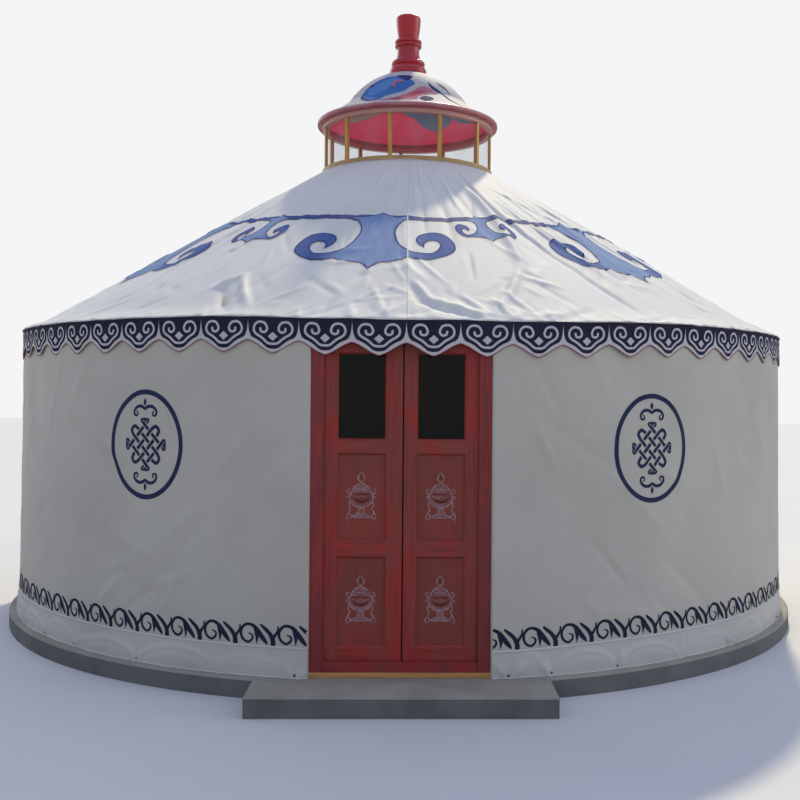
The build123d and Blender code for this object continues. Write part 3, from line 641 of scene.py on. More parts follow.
def fill(shapes, holes=(), step=None):
    """Triangles that cover the shapes and leave the holes free."""
    corners, edges = [], []
    for loop in [*shapes, *holes]:
        start, count = len(corners), len(loop)
        corners += [Vector(p) for p in loop]
        edges += [(start + i, start + (i + 1) % count) for i in range(count)]
    if step:
        every = np.concatenate([np.asarray(s) for s in shapes])
        low, high = every.min(0), every.max(0)
        xs, ys = np.meshgrid(np.arange(low[0], high[0], step), np.arange(low[1], high[1], step))
        extra = np.stack([xs.ravel(), ys.ravel()], axis=1)
        corners += [Vector(p) for p in extra[inside(extra, shapes)]]
    found = delaunay_2d_cdt(corners, edges, [], 0, 1e-6)
    points, faces = np.array([tuple(p) for p in found[0]]), np.array(found[2])
    middle = points[faces].mean(axis=1)
    keep = inside(middle, shapes)
    if len(holes):
        keep &= ~inside(middle, holes)
    return points, faces[keep]


def laid_copies(filled, lay, copies):
    """One array of corners and one of faces for all copies of a filled motif."""
    points, faces = filled
    corners = np.concatenate([lay(points, copy) for copy in copies])
    shifts = np.arange(len(copies))[:, None, None] * len(points)
    return corners, (faces[None] + shifts).reshape(-1, 3)


def turned_over(filled):
    return filled[0], filled[1][:, ::-1]


def mirrored(points):
    return [(-x, y) for x, y in points]


def both_halves(half):
    """A half outline, from the middle out, and its mirror image on the way back."""
    return [*half, *[(-x, y) for x, y in half[::-1] if x]]


# %% Print finishes
def inked(ink):
    """The finish with the tooth of the cloth, which shows through every print."""
    return ink.set("Normal", ink.bump(ink.spots(330.0, 2.0), 0.0004, 0.5)).material


def print_ink(name, colour, deeper, wear=0.25):
    ink = Finish(name, colour, 0.8, Specular_IOR_Level=0.08)
    patches = ink.spots(9.0, 6.0, 0.65)
    ink.set("Base Color", ink.mix(ink.ramp(patches, 0.3, 0.72, 0.0, wear * 4), colour, deeper))
    return inked(ink)


navy_ink = print_ink("navy_ink", (0.028, 0.027, 0.055), (0.036, 0.035, 0.070))
badge_ink = print_ink("badge_ink", (0.030, 0.042, 0.105), (0.040, 0.054, 0.125))
border_ink = print_ink("border_ink", (0.022, 0.026, 0.058), (0.032, 0.038, 0.080))
deep_blue_ink = print_ink("roof_outline_ink", (0.048, 0.075, 0.26), (0.070, 0.100, 0.28))


def watery_ink(name, pale, deep, deep_from, deep_to):
    """Blue that was laid on wet: streaks down the roof, and deeper away from the figure's middle."""
    ink = Finish(name, pale, 0.75, Specular_IOR_Level=0.12)
    beside = ink.math("ABSOLUTE", ink.axis("X", ink.cloth()))
    streaks = ink.noise(ink.cloth((14, 2.4, 1)), 1.0, 5.0, 0.6)
    blots = ink.spots(5.0, 5.0, 0.6)
    far = ink.ramp(ink.math("ADD", beside, ink.math("MULTIPLY", blots, 0.3)), deep_from, deep_to)
    halfway = [0.5 * (a + b) for a, b in zip(pale, deep)]
    tone = ink.mix(ink.ramp(streaks, 0.35, 0.7, 0.0, 0.6), pale, halfway)
    ink.set("Base Color", ink.mix(ink.math("MULTIPLY", far, 0.85), tone, deep))
    return inked(ink)


blue_ink = watery_ink("roof_blue_ink", (0.265, 0.375, 0.63), (0.060, 0.115, 0.38), 0.46, 0.84)
band_ink = watery_ink("roof_band_ink", (0.16, 0.18, 0.34), (0.055, 0.100, 0.34), 0.26, 0.36)
print("print finishes made")

# %% [markdown]
# ## The border on the wall
# A running scroll goes round the wall above the skirt: a spiral like a ram's horn with two leaves, over and
# over. It was printed on the canvas before that was cut to length, so it ends at the jambs in mid-motif.

# %% Wall border
border_scale, border_height = (0.000318, 0.000296), 175
border_gap, border_lift = 0.0095, 0.0018


def border_shape(points, widths):
    return stroke([(x, border_height - y) for x, y in points], widths) * border_scale


border_shapes = [
    border_shape([(15, -20), (80, 15), (78, 80), (10, 135), (-75, 95), (-118, 10), (-110, -85), (-40, -165),
                  (50, -170), (130, -125), (190, -50), (245, 30), (300, 100), (338, 150)],
                 [20, 32, 40, 42, 44, 46, 48, 48, 52, 66, 80, 84, 66, 34]),
    border_shape([(125, -120), (150, -40), (165, 50), (158, 160)], [50, 64, 52, 4]),
    border_shape([(222, -178), (290, -120), (365, -50), (415, 25), (440, 95), (442, 170)],
                 [34, 58, 66, 72, 80, 84]),
    border_shape([(524, -160), (522, -90), (490, -25), (448, 40), (440, 100)], [26, 34, 44, 56, 60]),
]
border_places = np.interp(np.arange(-1, 77), [-1, 0, 20, 55, 75, 76],
                          [9.79, 14.23, 103.0, 260.0, 347.78, 352.17])


def lay_on_wall(points, bearing):
    bearing = bearing + np.degrees(points[:, 0] / foot_radius)
    return wall_point(bearing, points[:, 1] + seam_height(bearing) + border_gap, border_lift)


corners, faces = laid_copies(fill(border_shapes, step=0.018), lay_on_wall, border_places)
face_middle = corners[faces].mean(axis=1)
face_bearing = np.degrees(np.arctan2(face_middle[:, 0], -face_middle[:, 1]))
faces = faces[np.abs(face_bearing) > jamb_bearing + 0.1]
make_piece("wall_border_print", corners, faces, border_ink, slot="wall_canvas", printed=True)
print("border", len(border_places), "motifs,", len(faces), "triangles")

# %% [markdown]
# ## Oval badges on the wall
# A large oval stands on each side of the door and twice more on each side behind. Each holds an endless
# knot, an old sign of the steppe and of Buddhist lands, with a cloud scroll above and below it. Its bands
# pass over and under each other, so the lower band of each crossing is cut back a little.

# %% Oval badges with an endless knot
badge_width, badge_height, badge_ring = 0.262, 0.298, 0.027
badge_level, badge_lift = 1.275, 0.0014
badge_bearings = (29.97, 90, 150, -150, -90, -30.6)
round_turn = np.radians(np.arange(0, 360, 5))


def oval(wide, high):
    return np.stack([wide * np.cos(round_turn), high * np.sin(round_turn)], axis=1)


knot_step, band = 0.050, 0.019
lines = np.array([-1.5, -0.5, 0.5, 1.5]) * knot_step
knot_edge = 1.5 * knot_step
cut_back, tail, loop_reach, corner_reach, corner_ease = 0.8, 0.022, 0.030, 0.016, 0.003


def knot_turned(points):
    points = np.asarray(points, float)
    return np.stack([points[:, 0] - points[:, 1], points[:, 0] + points[:, 1]], axis=1) * math.sqrt(0.5)


knot_shapes = []
for i, at in enumerate(lines):
    for level in (0, 1):
        cuts = [other for j, other in enumerate(lines) if (i + j + level) % 2]
        stops = [-knot_edge - tail, *sum([[c - band * cut_back, c + band * cut_back] for c in cuts], []),
                 knot_edge + tail]
        for low, high in zip(stops[::2], stops[1::2]):
            bar = [(low, at - band / 2), (high, at - band / 2), (high, at + band / 2), (low, at + band / 2)]
            knot_shapes.append(knot_turned(bar if level else [(y, x) for x, y in bar]))
reach = knot_edge + 0.020
for sign in (-1, 1):
    for flip in (False, True):
        middle = [(sign * reach, -0.5 * knot_step), (sign * (reach + loop_reach), -0.3 * knot_step),
                  (sign * (reach + loop_reach), 0.3 * knot_step), (sign * reach, 0.5 * knot_step)]
        knot_shapes.append(knot_turned(stroke([(y, x) for x, y in middle] if flip else middle, band)))
for sx, sy in ((1, 1), (1, -1), (-1, 1), (-1, -1)):
    far, near_edge = reach + corner_reach, knot_edge + corner_ease
    corner = [(sx * reach, sy * knot_edge), (sx * far, sy * near_edge), (sx * near_edge, sy * far),
              (sx * knot_edge, sy * reach)]
    knot_shapes.append(knot_turned(stroke(corner, band)))
scroll = [(0.0, 0.192), (0.024, 0.206), (0.058, 0.204), (0.082, 0.182), (0.078, 0.160), (0.060, 0.158),
          (0.056, 0.172), (0.066, 0.180)]
scroll_widths = [0.016, 0.018, 0.017, 0.015, 0.013, 0.011, 0.009, 0.006]
for side in (1, -1):
    for level in (1, -1):
        knot_shapes.append(stroke([(side * x, level * y) for x, y in scroll], scroll_widths))
for level in (1, -1):
    drop_line = [(0.0, level * 0.250), (0.0, level * 0.232), (0.0, level * 0.214)]
    knot_shapes.append(stroke(drop_line, [0.004, 0.020, 0.012]))
badge_parts = [fill([oval(badge_width, badge_height)],
                    [oval(badge_width - badge_ring, badge_height - badge_ring)]),
               fill(knot_shapes)]


def lay_badge(points, bearing):
    return wall_point(bearing + np.degrees(points[:, 0] / foot_radius), points[:, 1] + badge_level, badge_lift)


for part, name in zip(badge_parts, ("badge_rings", "badge_knots")):
    make_piece(name, *laid_copies(part, lay_badge, badge_bearings), badge_ink, slot="wall_canvas", printed=True)
print("badges", len(badge_bearings))

# %% [markdown]
# ## The pattern on the roof
# A narrow band runs round the roof, and horned figures hang from it, large and small by turns. Each is
# drawn as one half, in degrees beside its middle and metres from the axis, and mirrored. A darker outline
# goes round a lighter blue body.

# %% Roof figures
large_half = [(6.96, 1.608), (5.24, 1.631), (3.94, 1.70), (3.45, 1.761), (3.55, 1.813), (4.12, 1.899),
              (5.28, 1.971), (6.43, 2.003), (8.01, 2.017), (9.59, 2.014), (10.66, 1.981), (11.31, 1.935),
              (11.17, 1.894), (10.28, 1.877), (9.32, 1.889), (8.67, 1.92), (8.55, 1.966), (7.61, 1.925),
              (7.2, 1.869), (7.85, 1.818), (9.46, 1.784), (11.17, 1.778), (12.55, 1.796), (13.69, 1.843),
              (14.08, 1.914), (13.62, 1.986), (12.01, 2.045), (9.47, 2.088), (7.47, 2.094), (5.89, 2.076),
              (4.31, 2.107), (2.84, 2.123), (1.57, 2.129), (0.63, 2.165), (0.0, 2.211)]
small_half = [(2.81, 1.606), (1.73, 1.624), (1.4, 1.657), (1.61, 1.708), (2.47, 1.758), (3.65, 1.787),
              (4.56, 1.783), (4.99, 1.754), (4.89, 1.728), (4.41, 1.72), (4.03, 1.73), (3.87, 1.752),
              (3.33, 1.72), (3.45, 1.686), (4.09, 1.666), (5.18, 1.657), (5.93, 1.68), (6.29, 1.72),
              (6.12, 1.771), (5.47, 1.808), (4.39, 1.823), (2.89, 1.817), (1.5, 1.821), (0.53, 1.844),
              (0.0, 1.871)]
degree, figure_lift = 0.0327, 0.0052
figure_top, figure_shoulder = 1.583, 1.70
# Outline, sharp corners, half width, stretch down the roof, crest, sides of the peak, width of the edge, places
figure_sizes = {
    "large": (large_half, (16, 29, 34), 14.08, 0.07, 1.520, [(0.11, 1.577), (0.05, 1.555)], 0.010,
              [-55.5, -5.20, 42.4] + [43.6 + 26.09 * i for i in (2, 4, 6, 8)]),
    "small": (small_half, (11, 24), 6.29, 0.05, 1.532, [(0.03, 1.570)], 0.008,
              [-31.6, 16.5] + [43.6 + 26.09 * i for i in (1, 3, 5, 7, 9)])}


def band_middle(bearing):
    """The distance of the band's middle line from the axis: it sags a little towards the front seam."""
    bearing = (np.asarray(bearing, float) + 180) % 360 - 180
    return np.interp(bearing, [-180, -62, -45, -32, -20, -10, 0, 7, 14, 25, 36, 60, 180],
                     [1.545, 1.512, 1.512, 1.530, 1.549, 1.573, 1.592, 1.602, 1.578, 1.556, 1.564, 1.550, 1.545])


def half_line(points, sharp):
    """The half outline, smooth but for its sharp corners, in metres beside the middle and from the axis."""
    flat = [(x * degree, y) for x, y in points]
    stops = [0, *sharp]
    return np.concatenate([curve(flat[a:b + 1], 4)[:-1] for a, b in zip(stops, stops[1:])] + [[flat[-1]]])


def narrowed(outline, amount):
    """The outline moved inward, for the lighter body inside its dark edge."""
    before, after = np.roll(outline, 1, axis=0), np.roll(outline, -1, axis=0)
    way = after - before
    way /= np.linalg.norm(way, axis=1)[:, None] + 1e-12
    inward = np.stack([-way[:, 1], way[:, 0]], axis=1)
    if np.sum(outline[:, 0] * after[:, 1] - after[:, 0] * outline[:, 1]) < 0:
        inward = -inward
    return outline + inward * amount


def lay_figure(points, centre):
    """A figure hangs from the band, so its upper edge follows the band's middle line."""
    bearing = centre + points[:, 0] / degree
    hung = np.clip((figure_shoulder - points[:, 1]) / 0.10, 0, 1) * (band_middle(bearing) - figure_top)
    return roof_point(bearing, points[:, 1] + hung, figure_lift)


for name, (half, sharp, half_width, stretch, crest, peak_side, edge, places_round) in figure_sizes.items():
    line = half_line(half, sharp)
    line[:, 1] += np.clip(line[:, 1] - figure_shoulder, 0, 1) * stretch
    rising = [(half[0][0] * degree, figure_top), *peak_side]
    outline = np.array([*both_halves(line), *mirrored(rising), (0, crest), *rising[::-1]])
    inner = narrowed(outline, edge)
    for part, filled, ink in (("edge", fill([outline], [inner], step=0.016), deep_blue_ink),
                              ("body", fill([inner], step=0.016), blue_ink)):
        make_piece(f"roof_{name}_figures_{part}", *laid_copies(turned_over(filled), lay_figure, places_round), ink,
                   slot="roof_canvas", printed=True,
                   cloth_place=np.concatenate([filled[0] / (half_width * degree, 1)] * len(places_round)))
    print("roof figures,", name, "ones:", len(places_round))

# %% Roof band and front seam
bearings = np.linspace(-180, 180, 960, endpoint=False)
wander = 0.003 * np.sin(np.radians(bearings) * 11) + band_middle(bearings)
for name, start, end, lift, ink in (("roof_band_edge", -0.026, 0.026, 0.0036, deep_blue_ink),
                                    ("roof_band_middle", -0.018, 0.019, 0.0043, band_ink)):
    radii = np.linspace(start, end, 5)[:, None] + wander
    grid = np.broadcast_to(bearings, radii.shape)
    local = np.stack([grid / 360 - 0.1, radii], axis=-1)
    make_piece(name, roof_point(grid, radii, lift), grid_faces(5, 960, closed=True)[:, ::-1], ink,
               slot="roof_canvas", cloth_place=local, printed=True)
seam_radius = np.linspace(crown_radius + 0.02, hem_radius - 0.004, 160)
seam_bearing = np.interp(seam_radius, [0.65, 0.81, 1.56, 2.75], [2.7, 2.2, 0.55, 0.6])
across, height = np.array([(-0.0045, 0.0014), (-0.0025, 0.0068), (0.0025, 0.0068), (0.0045, 0.0014)]).T
grid = seam_bearing + np.degrees(across[:, None] / seam_radius)
make_piece("roof_seam", roof_point(grid, seam_radius, height[:, None]), grid_faces(4, 160), seam_white,
           slot="roof_canvas", printed=True,
           cloth_place=np.stack([grid, np.broadcast_to(seam_radius, grid.shape)], axis=-1))
print("roof band and front seam")

# %% [markdown]
# ## Valance
# The valance hangs from the eave, cut below into sixty-two scallops. It hangs a little in and out, more so
# at its tips. Navy patches with a heart-shaped line and a small diamond are printed on it, one in each
# scallop, and a red piping follows its edge.

# %% Valance cloth
valance_radius = ring_profile("valance")[0].max()
scallops, scallop_first = 62, -2.45
pitch = 2 * math.pi * valance_radius / scallops
tip_drop, notch_drop = 0.188, 0.122
wave_phase = rng.uniform(0, 6.28, 6)
sway_reach, tips_out = 0.0022, 0.001


def scallop_edge(beside):
    """How far below the band's top the cloth's edge is, beside a scallop's middle."""
    share = np.abs((beside + pitch / 2) % pitch - pitch / 2) / (pitch / 2)
    rounded, straight = 0.5 * (1 + np.cos(np.pi * share)), 1 - share
    return notch_drop + (tip_drop - notch_drop) * (0.55 * rounded + 0.45 * straight)


def valance_point(bearing, down, lift=0.0):
    """A point on the valance, some way down from the eave. It sways more towards its tips."""
    turn, share = np.radians(bearing), np.clip(down / tip_drop, 0, 1)
    sway = sum(size * np.sin(turn * waves + phase) for waves, size, phase in
               zip((9, 17, 31, 62, 93, 124), (0.8, 1.0, 1.1, 0.9, 0.8, 0.5), wave_phase))
    radius = valance_radius + sway_reach * share * sway + tips_out * share + lift
    return around(bearing, radius, eave_height(bearing) - down)


columns = scallops * 16
bearings = scallop_first + np.arange(columns) * 360 / columns
edge_down = scallop_edge(np.radians(bearings - scallop_first) * valance_radius)
rows_down = np.linspace(0, 1, 10)[:, None] * edge_down
head_slope, head_drop = 0.45, 0.006
head_back = np.linspace(0.026, 0.004, 3)[:, None]
head = around(bearings, valance_radius - head_back, eave_height(bearings) + head_back * head_slope - head_drop)
points = np.concatenate([head, valance_point(bearings, rows_down)])
downs = np.concatenate([-np.repeat(head_back, columns, 1), rows_down])
valance = make_piece("valance_cloth", points, grid_faces(len(points), columns, closed=True)[:, ::-1], trim_white,
                     slot="valance_cloth", cloth_place=unrolled(bearings - scallop_first, valance_radius, -downs))
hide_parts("valance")
print("valance", round(scallops * pitch, 2), "m round,", round(tip_drop, 3), "m deep")

# %% Valance prints
heart_half = np.array([(0, 142), (26, 138), (48, 120), (66, 107), (86, 96), (101, 82), (105, 63), (98, 44),
                       (83, 32), (64, 30), (45, 36), (34, 52), (31, 67), (39, 80), (53, 83), (66, 76),
                       (68, 61)]) * (1, -1) / 1000
heart = np.concatenate([heart_half[:0:-1] * (-1, 1), heart_half])
patch_half = np.array([(0, 161), (16, 160), (31, 155), (52, 138), (70, 125), (91, 114), (110, 107), (122, 97),
                       (128.5, 84), (133, 68), (135.4, 52), (137, 34), (138.4, 17), (138.6, 0)])
patch = np.array(both_halves(patch_half * (1, -1.043) / 1000))
diamond = np.array([(0, -0.081), (0.026, -0.104), (0, -0.127), (-0.026, -0.104)])
patch_lift, heart_lift, heart_width = 0.0010, 0.0018, 0.0122
lilac_ink = print_ink("lilac_line_ink", (0.70, 0.69, 0.76), (0.62, 0.61, 0.69))


def lay_on_valance(lift):
    def lay(points, scallop):
        bearing = scallop_first + scallop * 360 / scallops + np.degrees(points[:, 0] / valance_radius)
        return valance_point(bearing, -points[:, 1], lift)
    return lay


every_scallop = np.arange(scallops)
make_piece("valance_patches", *laid_copies(fill([patch], step=0.02), lay_on_valance(patch_lift), every_scallop),
           navy_ink, slot="valance_cloth", printed=True)
hearts = laid_copies(fill([stroke(heart, heart_width, 4), diamond]), lay_on_valance(heart_lift), every_scallop)
make_piece("valance_hearts", *hearts, lilac_ink, slot="valance_cloth", printed=True)
print("valance prints", len(hearts[1]), "triangles")

# %% Red piping
piping = Finish("red_piping", (0.36, 0.11, 0.14), 0.7, Sheen_Weight=0.1)
piping.set("Base Color", piping.mix(piping.spots(60), (0.40, 0.13, 0.16), (0.28, 0.07, 0.09)))
cord_radius = 0.0028
cord = [valance_point(bearings, edge_down + cord_radius * math.sin(a), cord_radius * math.cos(a))
        for a in cord_turns]
make_piece("valance_piping", cord, tube_faces(6, columns, closed=True), piping.material, slot="valance_cloth")
print("piping round the valance")

# %% [markdown]
# ## The door
# The door is softwood under a red lacquer that has weathered unevenly: brighter red in patches, browner in
# others, with the grain showing through as fine dark lines. Grain follows the board, so stiles have it
# upright and rails have it lying down. The finish finds a rail by its height on the leaf. A dark felt strip
# on the left leaf's edge fills the slit between the leaves, against the draught and as painted shade: its
# near black stands for the shade in the slit.

# %% Red lacquered boards
def lacquered(name, bright, dull, rails=(), lying=False, rough=0.42, grain_share=0.45):
    """Lacquer with the grain upright, or lying down on the rails, which are ranges of height."""
    wood = Finish(name, bright, rough, Coat_Weight=0.15, Coat_Roughness=0.3)
    upright = wood.streaks((62, 62, 2.2), 6.0, 0.62, 0.5)
    across = wood.streaks((2.2, 62, 62), 6.0, 0.62, 0.5)

    def within(value, low, high):
        return wood.math("MULTIPLY", wood.math("GREATER_THAN", value, low), wood.math("LESS_THAN", value, high))

    grain = across if lying else upright
    if rails:
        height, on_rail = wood.axis("Z", wood.place()), 0.0
        for low, high in rails:
            on_rail = wood.math("MAXIMUM", within(height, low, high), on_rail)
        beside = wood.math("ABSOLUTE", wood.axis("X", wood.place()))
        on_rail = wood.math("MULTIPLY", on_rail, within(beside, *rail_beside))
        grain = wood.add("ShaderNodeMix", "Result", data_type="FLOAT",
                         inputs={"Factor": on_rail, "A": upright, "B": across})
    patches = wood.noise(wood.place((1.0, 1.0, 0.55)), 5.5, 5.0, 0.62, 0.4)
    tone = wood.mix(wood.ramp(patches, 0.42, 0.64), dull, bright)
    lines = wood.ramp(grain, 0.46, 0.62)
    wood.set("Base Color", wood.mix(wood.math("MULTIPLY", lines, grain_share), tone, [c * 0.5 for c in dull]))
    wood.set("Roughness", wood.ramp(patches, 0.2, 0.8, rough + 0.14, rough - 0.06))
    fine = wood.spots(190.0, 3.0)
    return wood.set("Normal", wood.bump(grain, 0.0016, 0.6, wood.bump(fine, 0.0004, 0.5))).material


leaf_low, leaf_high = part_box("left_door_frame")
panel_low, panel_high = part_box("left_door_panels")
rail_beside = (abs(panel_high.x) - 0.004, abs(panel_low.x) + 0.004)
panel_heights = (0.262, 0.712, 0.809, 1.245, 1.328, 1.764)
rail_bands = list(zip((0, *panel_heights[1::2]), (*panel_heights[::2], 2.0)))
leaf_red = lacquered("door_leaf_red", (0.45, 0.026, 0.024), (0.33, 0.052, 0.040), rail_bands)
jamb_red = lacquered("door_jamb_red", (0.37, 0.030, 0.034), (0.26, 0.034, 0.036))
head_red = lacquered("door_head_red", (0.37, 0.030, 0.034), (0.26, 0.034, 0.036), lying=True)
panel_red = lacquered("door_panel_red", (0.34, 0.046, 0.034), (0.28, 0.055, 0.036), rough=0.55,
                      grain_share=0.16)
dress(leaf_red, "left_door_frame", "right_door_frame")
dress(panel_red, "left_door_panels", "right_door_panels")
dress(jamb_red, "door_left_jamb", "door_right_jamb")
dress(head_red, "door_head", "door_threshold")
# The strip is near black: painted shade for the dark slit between the leaves.
strip_felt = Finish("draught_and_shade_strip_felt", (0.10, 0.012, 0.014), 0.95, Sheen_Weight=0.2)
strip_felt.set("Normal", strip_felt.bump(strip_felt.spots(240.0, 4.0), 0.0008, 0.7))
strip_section = [(-0.001, 0.004), (0.0025, 0.005), (0.0030, 0.009), (0.0030, 0.028), (0.0025, 0.032),
                 (-0.001, 0.033)]
strip_short = 0.005
strip = [[(leaf_high.x + x, leaf_low.y + y, z) for x, y in strip_section]
         for z in np.linspace(leaf_low.z + strip_short, leaf_high.z - strip_short, 12)]
make_piece("left_leaf_draught_and_shade_strip", strip, grid_faces(12, 6, closed=True), strip_felt.material, body="left_leaf")
print("rails at", [(round(a, 2), round(b, 2)) for a, b in rail_bands])

# %% [markdown]
# ## Vases painted on the panels
# Each of the four panels carries a treasure vase, one of the eight lucky signs, in thin pale paint: a jewel
# on a domed lid, a round body, a waist and a foot, with a ribbon down each side. It is painted in strokes,
# so strokes draw it here too, laid on the panel's face. The paint is worn thin in places.

# %% Panel vases
vase_paint = Finish("vase_paint", (0.42, 0.30, 0.32), 0.6)
worn = vase_paint.spots(70.0, 5.0, 0.7)
vase_paint.set("Base Color", vase_paint.mix(vase_paint.ramp(worn, 0.35, 0.65), (0.32, 0.15, 0.15),
                                            (0.48, 0.34, 0.36)))
vase_dark = print_ink("vase_shadow_paint", (0.10, 0.040, 0.040), (0.14, 0.05, 0.045))
vase_tint = print_ink("vase_tint_paint", (0.40, 0.22, 0.225), (0.33, 0.13, 0.125), 0.4)

both_sides = []
for points, widths in (
    ([(0, 128), (11, 112), (17, 98), (12, 84), (0, 77)], [2, 6, 7, 6, 6]),
    ([(0, 76), (10, 68), (26, 60), (40, 46), (46, 32), (34, 24), (0, 20)], [5, 6, 7, 7, 6, 5, 5]),
    ([(0, 40), (20, 38), (36, 30)], [4, 4, 3]),
    ([(46, 28), (58, 12), (60, -10), (50, -32), (30, -48), (0, -54)], [6, 8, 8, 8, 8, 8]),
    ([(0, -60), (16, -64), (13, -76), (24, -90), (44, -100), (46, -106), (0, -107)], [5, 6, 6, 7, 7, 5, 5]),
    ([(0, -88), (22, -96)], [4, 3]),
    ([(58, 14), (72, 22), (70, 40), (58, 38), (60, 28)], [7, 6, 5, 4, 3]),
    ([(56, -18), (64, -40), (56, -62), (66, -84), (76, -104), (70, -126)], [4, 7, 6, 8, 6, 2]),
    ([(66, -84), (54, -96), (58, -112), (70, -112)], [5, 6, 5, 3]),
    ([(62, 4), (74, 0), (72, -12)], [4, 5, 3])):
    both_sides += [stroke(points, widths, 4), stroke(mirrored(points), widths, 4)]


def filled_millimetres(*shapes):
    return fill([shape * 0.001 for shape in shapes])


vase_lines = filled_millimetres(*both_sides)
belly = stroke([(-40, 0), (-27, -17), (0, -25), (27, -17), (40, 0)], [2, 8, 11, 8, 2], 4)
collar = stroke([(-38, 24), (-20, 15), (0, 19), (20, 15), (38, 24)], [3, 7, 5, 7, 3], 4)
jewel = stroke([(0, 106), (0, 98), (0, 92)], [2, 7, 3], 4)
vase_shadows = filled_millimetres(belly, collar, jewel)
lid = curve(both_halves([(0, 74), (26, 60), (40, 44), (30, 30), (0, 26)]), 4, closed=True)
bowl = stroke([(-52, -4), (-36, -32), (0, -43), (36, -32), (52, -4)], [4, 12, 14, 12, 4], 4)
shelf = stroke([(-44, 4), (-20, -2), (0, 2), (20, -2), (44, 4)], [4, 9, 8, 9, 4], 4)
foot = curve(both_halves([(0, -62), (14, -70), (26, -92), (40, -104)]), 4, closed=True)
vase_tints = filled_millimetres(lid, bowl, shelf, foot)
haze = curve(both_halves([(0, 70), (30, 56), (44, 30), (56, 8), (50, -30), (20, -52), (14, -74), (40, -102)]),
             4, closed=True)
haze_paint = print_ink("vase_haze_paint", (0.35, 0.115, 0.105), (0.30, 0.08, 0.065), 0.3)
vase_layers = ((filled_millimetres(haze), haze_paint, "haze", 0.0002), (vase_tints, vase_tint, "tints", 0.0005),
               (vase_lines, vase_paint.material, "lines", 0.0008), (vase_shadows, vase_dark, "shadows", 0.0011))
panel_face = panel_low.y
panel_middles = (("lower", 0.493), ("upper", 1.027))
for side, body in ((-1, "left_leaf"), (1, "right_leaf")):
    centre_x = side * (abs(panel_low.x) + abs(panel_high.x)) / 2
    for level, centre_z in panel_middles:
        for (points, faces), paint, part, lift in vase_layers:
            corners = np.stack([points[:, 0] + centre_x, np.full(len(points), panel_face - lift),
                                points[:, 1] + centre_z], axis=1)
            make_piece(f"{body}_{level}_vase_{part}", corners, faces, paint, body=body, slot="red_panel",
                       smooth=False)
print("vases painted on", panel_face)

# %% Glass, hinges and the sill board
# The door glass is near black and lets only part of the light through: painted shade of the dim room behind.
dark_glass = Finish("window_glass", (0.010, 0.012, 0.010), 0.06, IOR=1.45, Specular_IOR_Level=0.5)
ripple = dark_glass.noise(dark_glass.place((1, 1, 0.6)), 7.0, 2.0)
film = dark_glass.spots(14.0, 6.0, 0.7)
dark_glass.set("Roughness", dark_glass.ramp(film, 0.35, 0.75, 0.05, 0.22))
dark_glass.set("Normal", dark_glass.bump(ripple, 0.0008, 0.4))
dark_glass.see_through((0.30, 0.31, 0.30), 0.55)
steel = Finish("hinge_steel", (0.36, 0.35, 0.33), 0.4, Metallic=0.9)
rust = steel.spots(120.0, 5.0, 0.7)
steel.set("Base Color", steel.mix(steel.ramp(rust, 0.5, 0.75), (0.36, 0.35, 0.33), (0.20, 0.11, 0.07)))
steel.set("Normal", steel.bump(rust, 0.0004, 0.6))
ochre = Finish("ochre_board", (0.56, 0.31, 0.10), 0.6)
streak = ochre.streaks((3, 70, 70), 6.0, 0.65)
scuff = ochre.spots(16.0, 6.0, 0.7)
board = ochre.mix(ochre.ramp(streak, 0.45, 0.7), (0.64, 0.35, 0.12), (0.38, 0.21, 0.08))
ochre.set("Base Color", ochre.mix(ochre.ramp(scuff, 0.58, 0.74), board, (0.34, 0.28, 0.20)))
ochre.set("Normal", ochre.bump(streak, 0.001, 0.6))
dress(dark_glass.material, "left_door_glass", "right_door_glass")
dress(steel.material, *[name for name in nodes if name.endswith("hinges")])
dress(ochre.material, "sill_board")
print("glass, hinges and sill board")

# %% [markdown]
# ## Concrete
# The plinth and the step are cast and trowelled: grey with clouds of damp and cement, and fine pits. Their tops
# are painted paler and warmer than their upright faces: painted light on the tops, painted shade on the sides.

# %% Concrete
concrete = Finish("concrete", (0.25, 0.25, 0.25), 0.85)
clouds = concrete.spots(2.3, 7.0, 0.62, 0.3)
pits = concrete.spots(120.0, 6.0, 0.7)
# Upright faces get a darker tone and tops a paler, warmer one: painted shade and painted light.
upright_painted_shade = concrete.mix(concrete.ramp(clouds, 0.3, 0.7), (0.140, 0.147, 0.153), (0.215, 0.217, 0.221))
top_painted_light = concrete.mix(concrete.ramp(clouds, 0.3, 0.7), (0.32, 0.305, 0.255), (0.45, 0.43, 0.36))
tone = concrete.mix(concrete.ramp(concrete.facing_up(), 0.3, 0.9), upright_painted_shade, top_painted_light)
concrete.set("Base Color", concrete.mix(concrete.ramp(pits, 0.55, 0.8, 0.0, 0.5), tone, (0.08, 0.08, 0.08)))
concrete.set("Normal", concrete.bump(pits, 0.003, 0.5, concrete.bump(clouds, 0.004, 0.5)))
dress(concrete.material, "plinth", "doorstep")
print("concrete on plinth and doorstep")

# %% [markdown]
# ## Woodwork inside and in the crown
# Laths and poles are oiled softwood. The crown's posts and its lower ring are varnished in a golden brown,
# and the upper ring and the cap's rim are painted. Wood has long streaks, so its noise is drawn out:
# upright for the posts and laths, and flat for the ring. The poles run every way and have an even grain.

# %% Wood finishes
def oiled(name, pale, dark, stretch, rough=0.45, coat=0.1):
    wood = Finish(name, pale, rough, Coat_Weight=coat, Coat_Roughness=0.25)
    grain = wood.streaks(stretch, 6.0, 0.6, 0.7)
    mottle = wood.spots(6.0, 4.0)
    tone = wood.mix(wood.ramp(grain, 0.35, 0.68), pale, dark)
    wood.set("Base Color", wood.mix(wood.ramp(mottle, 0.4, 0.75, 0.0, 0.5), tone, dark))
    return wood.set("Normal", wood.bump(grain, 0.0012, 0.5)).material


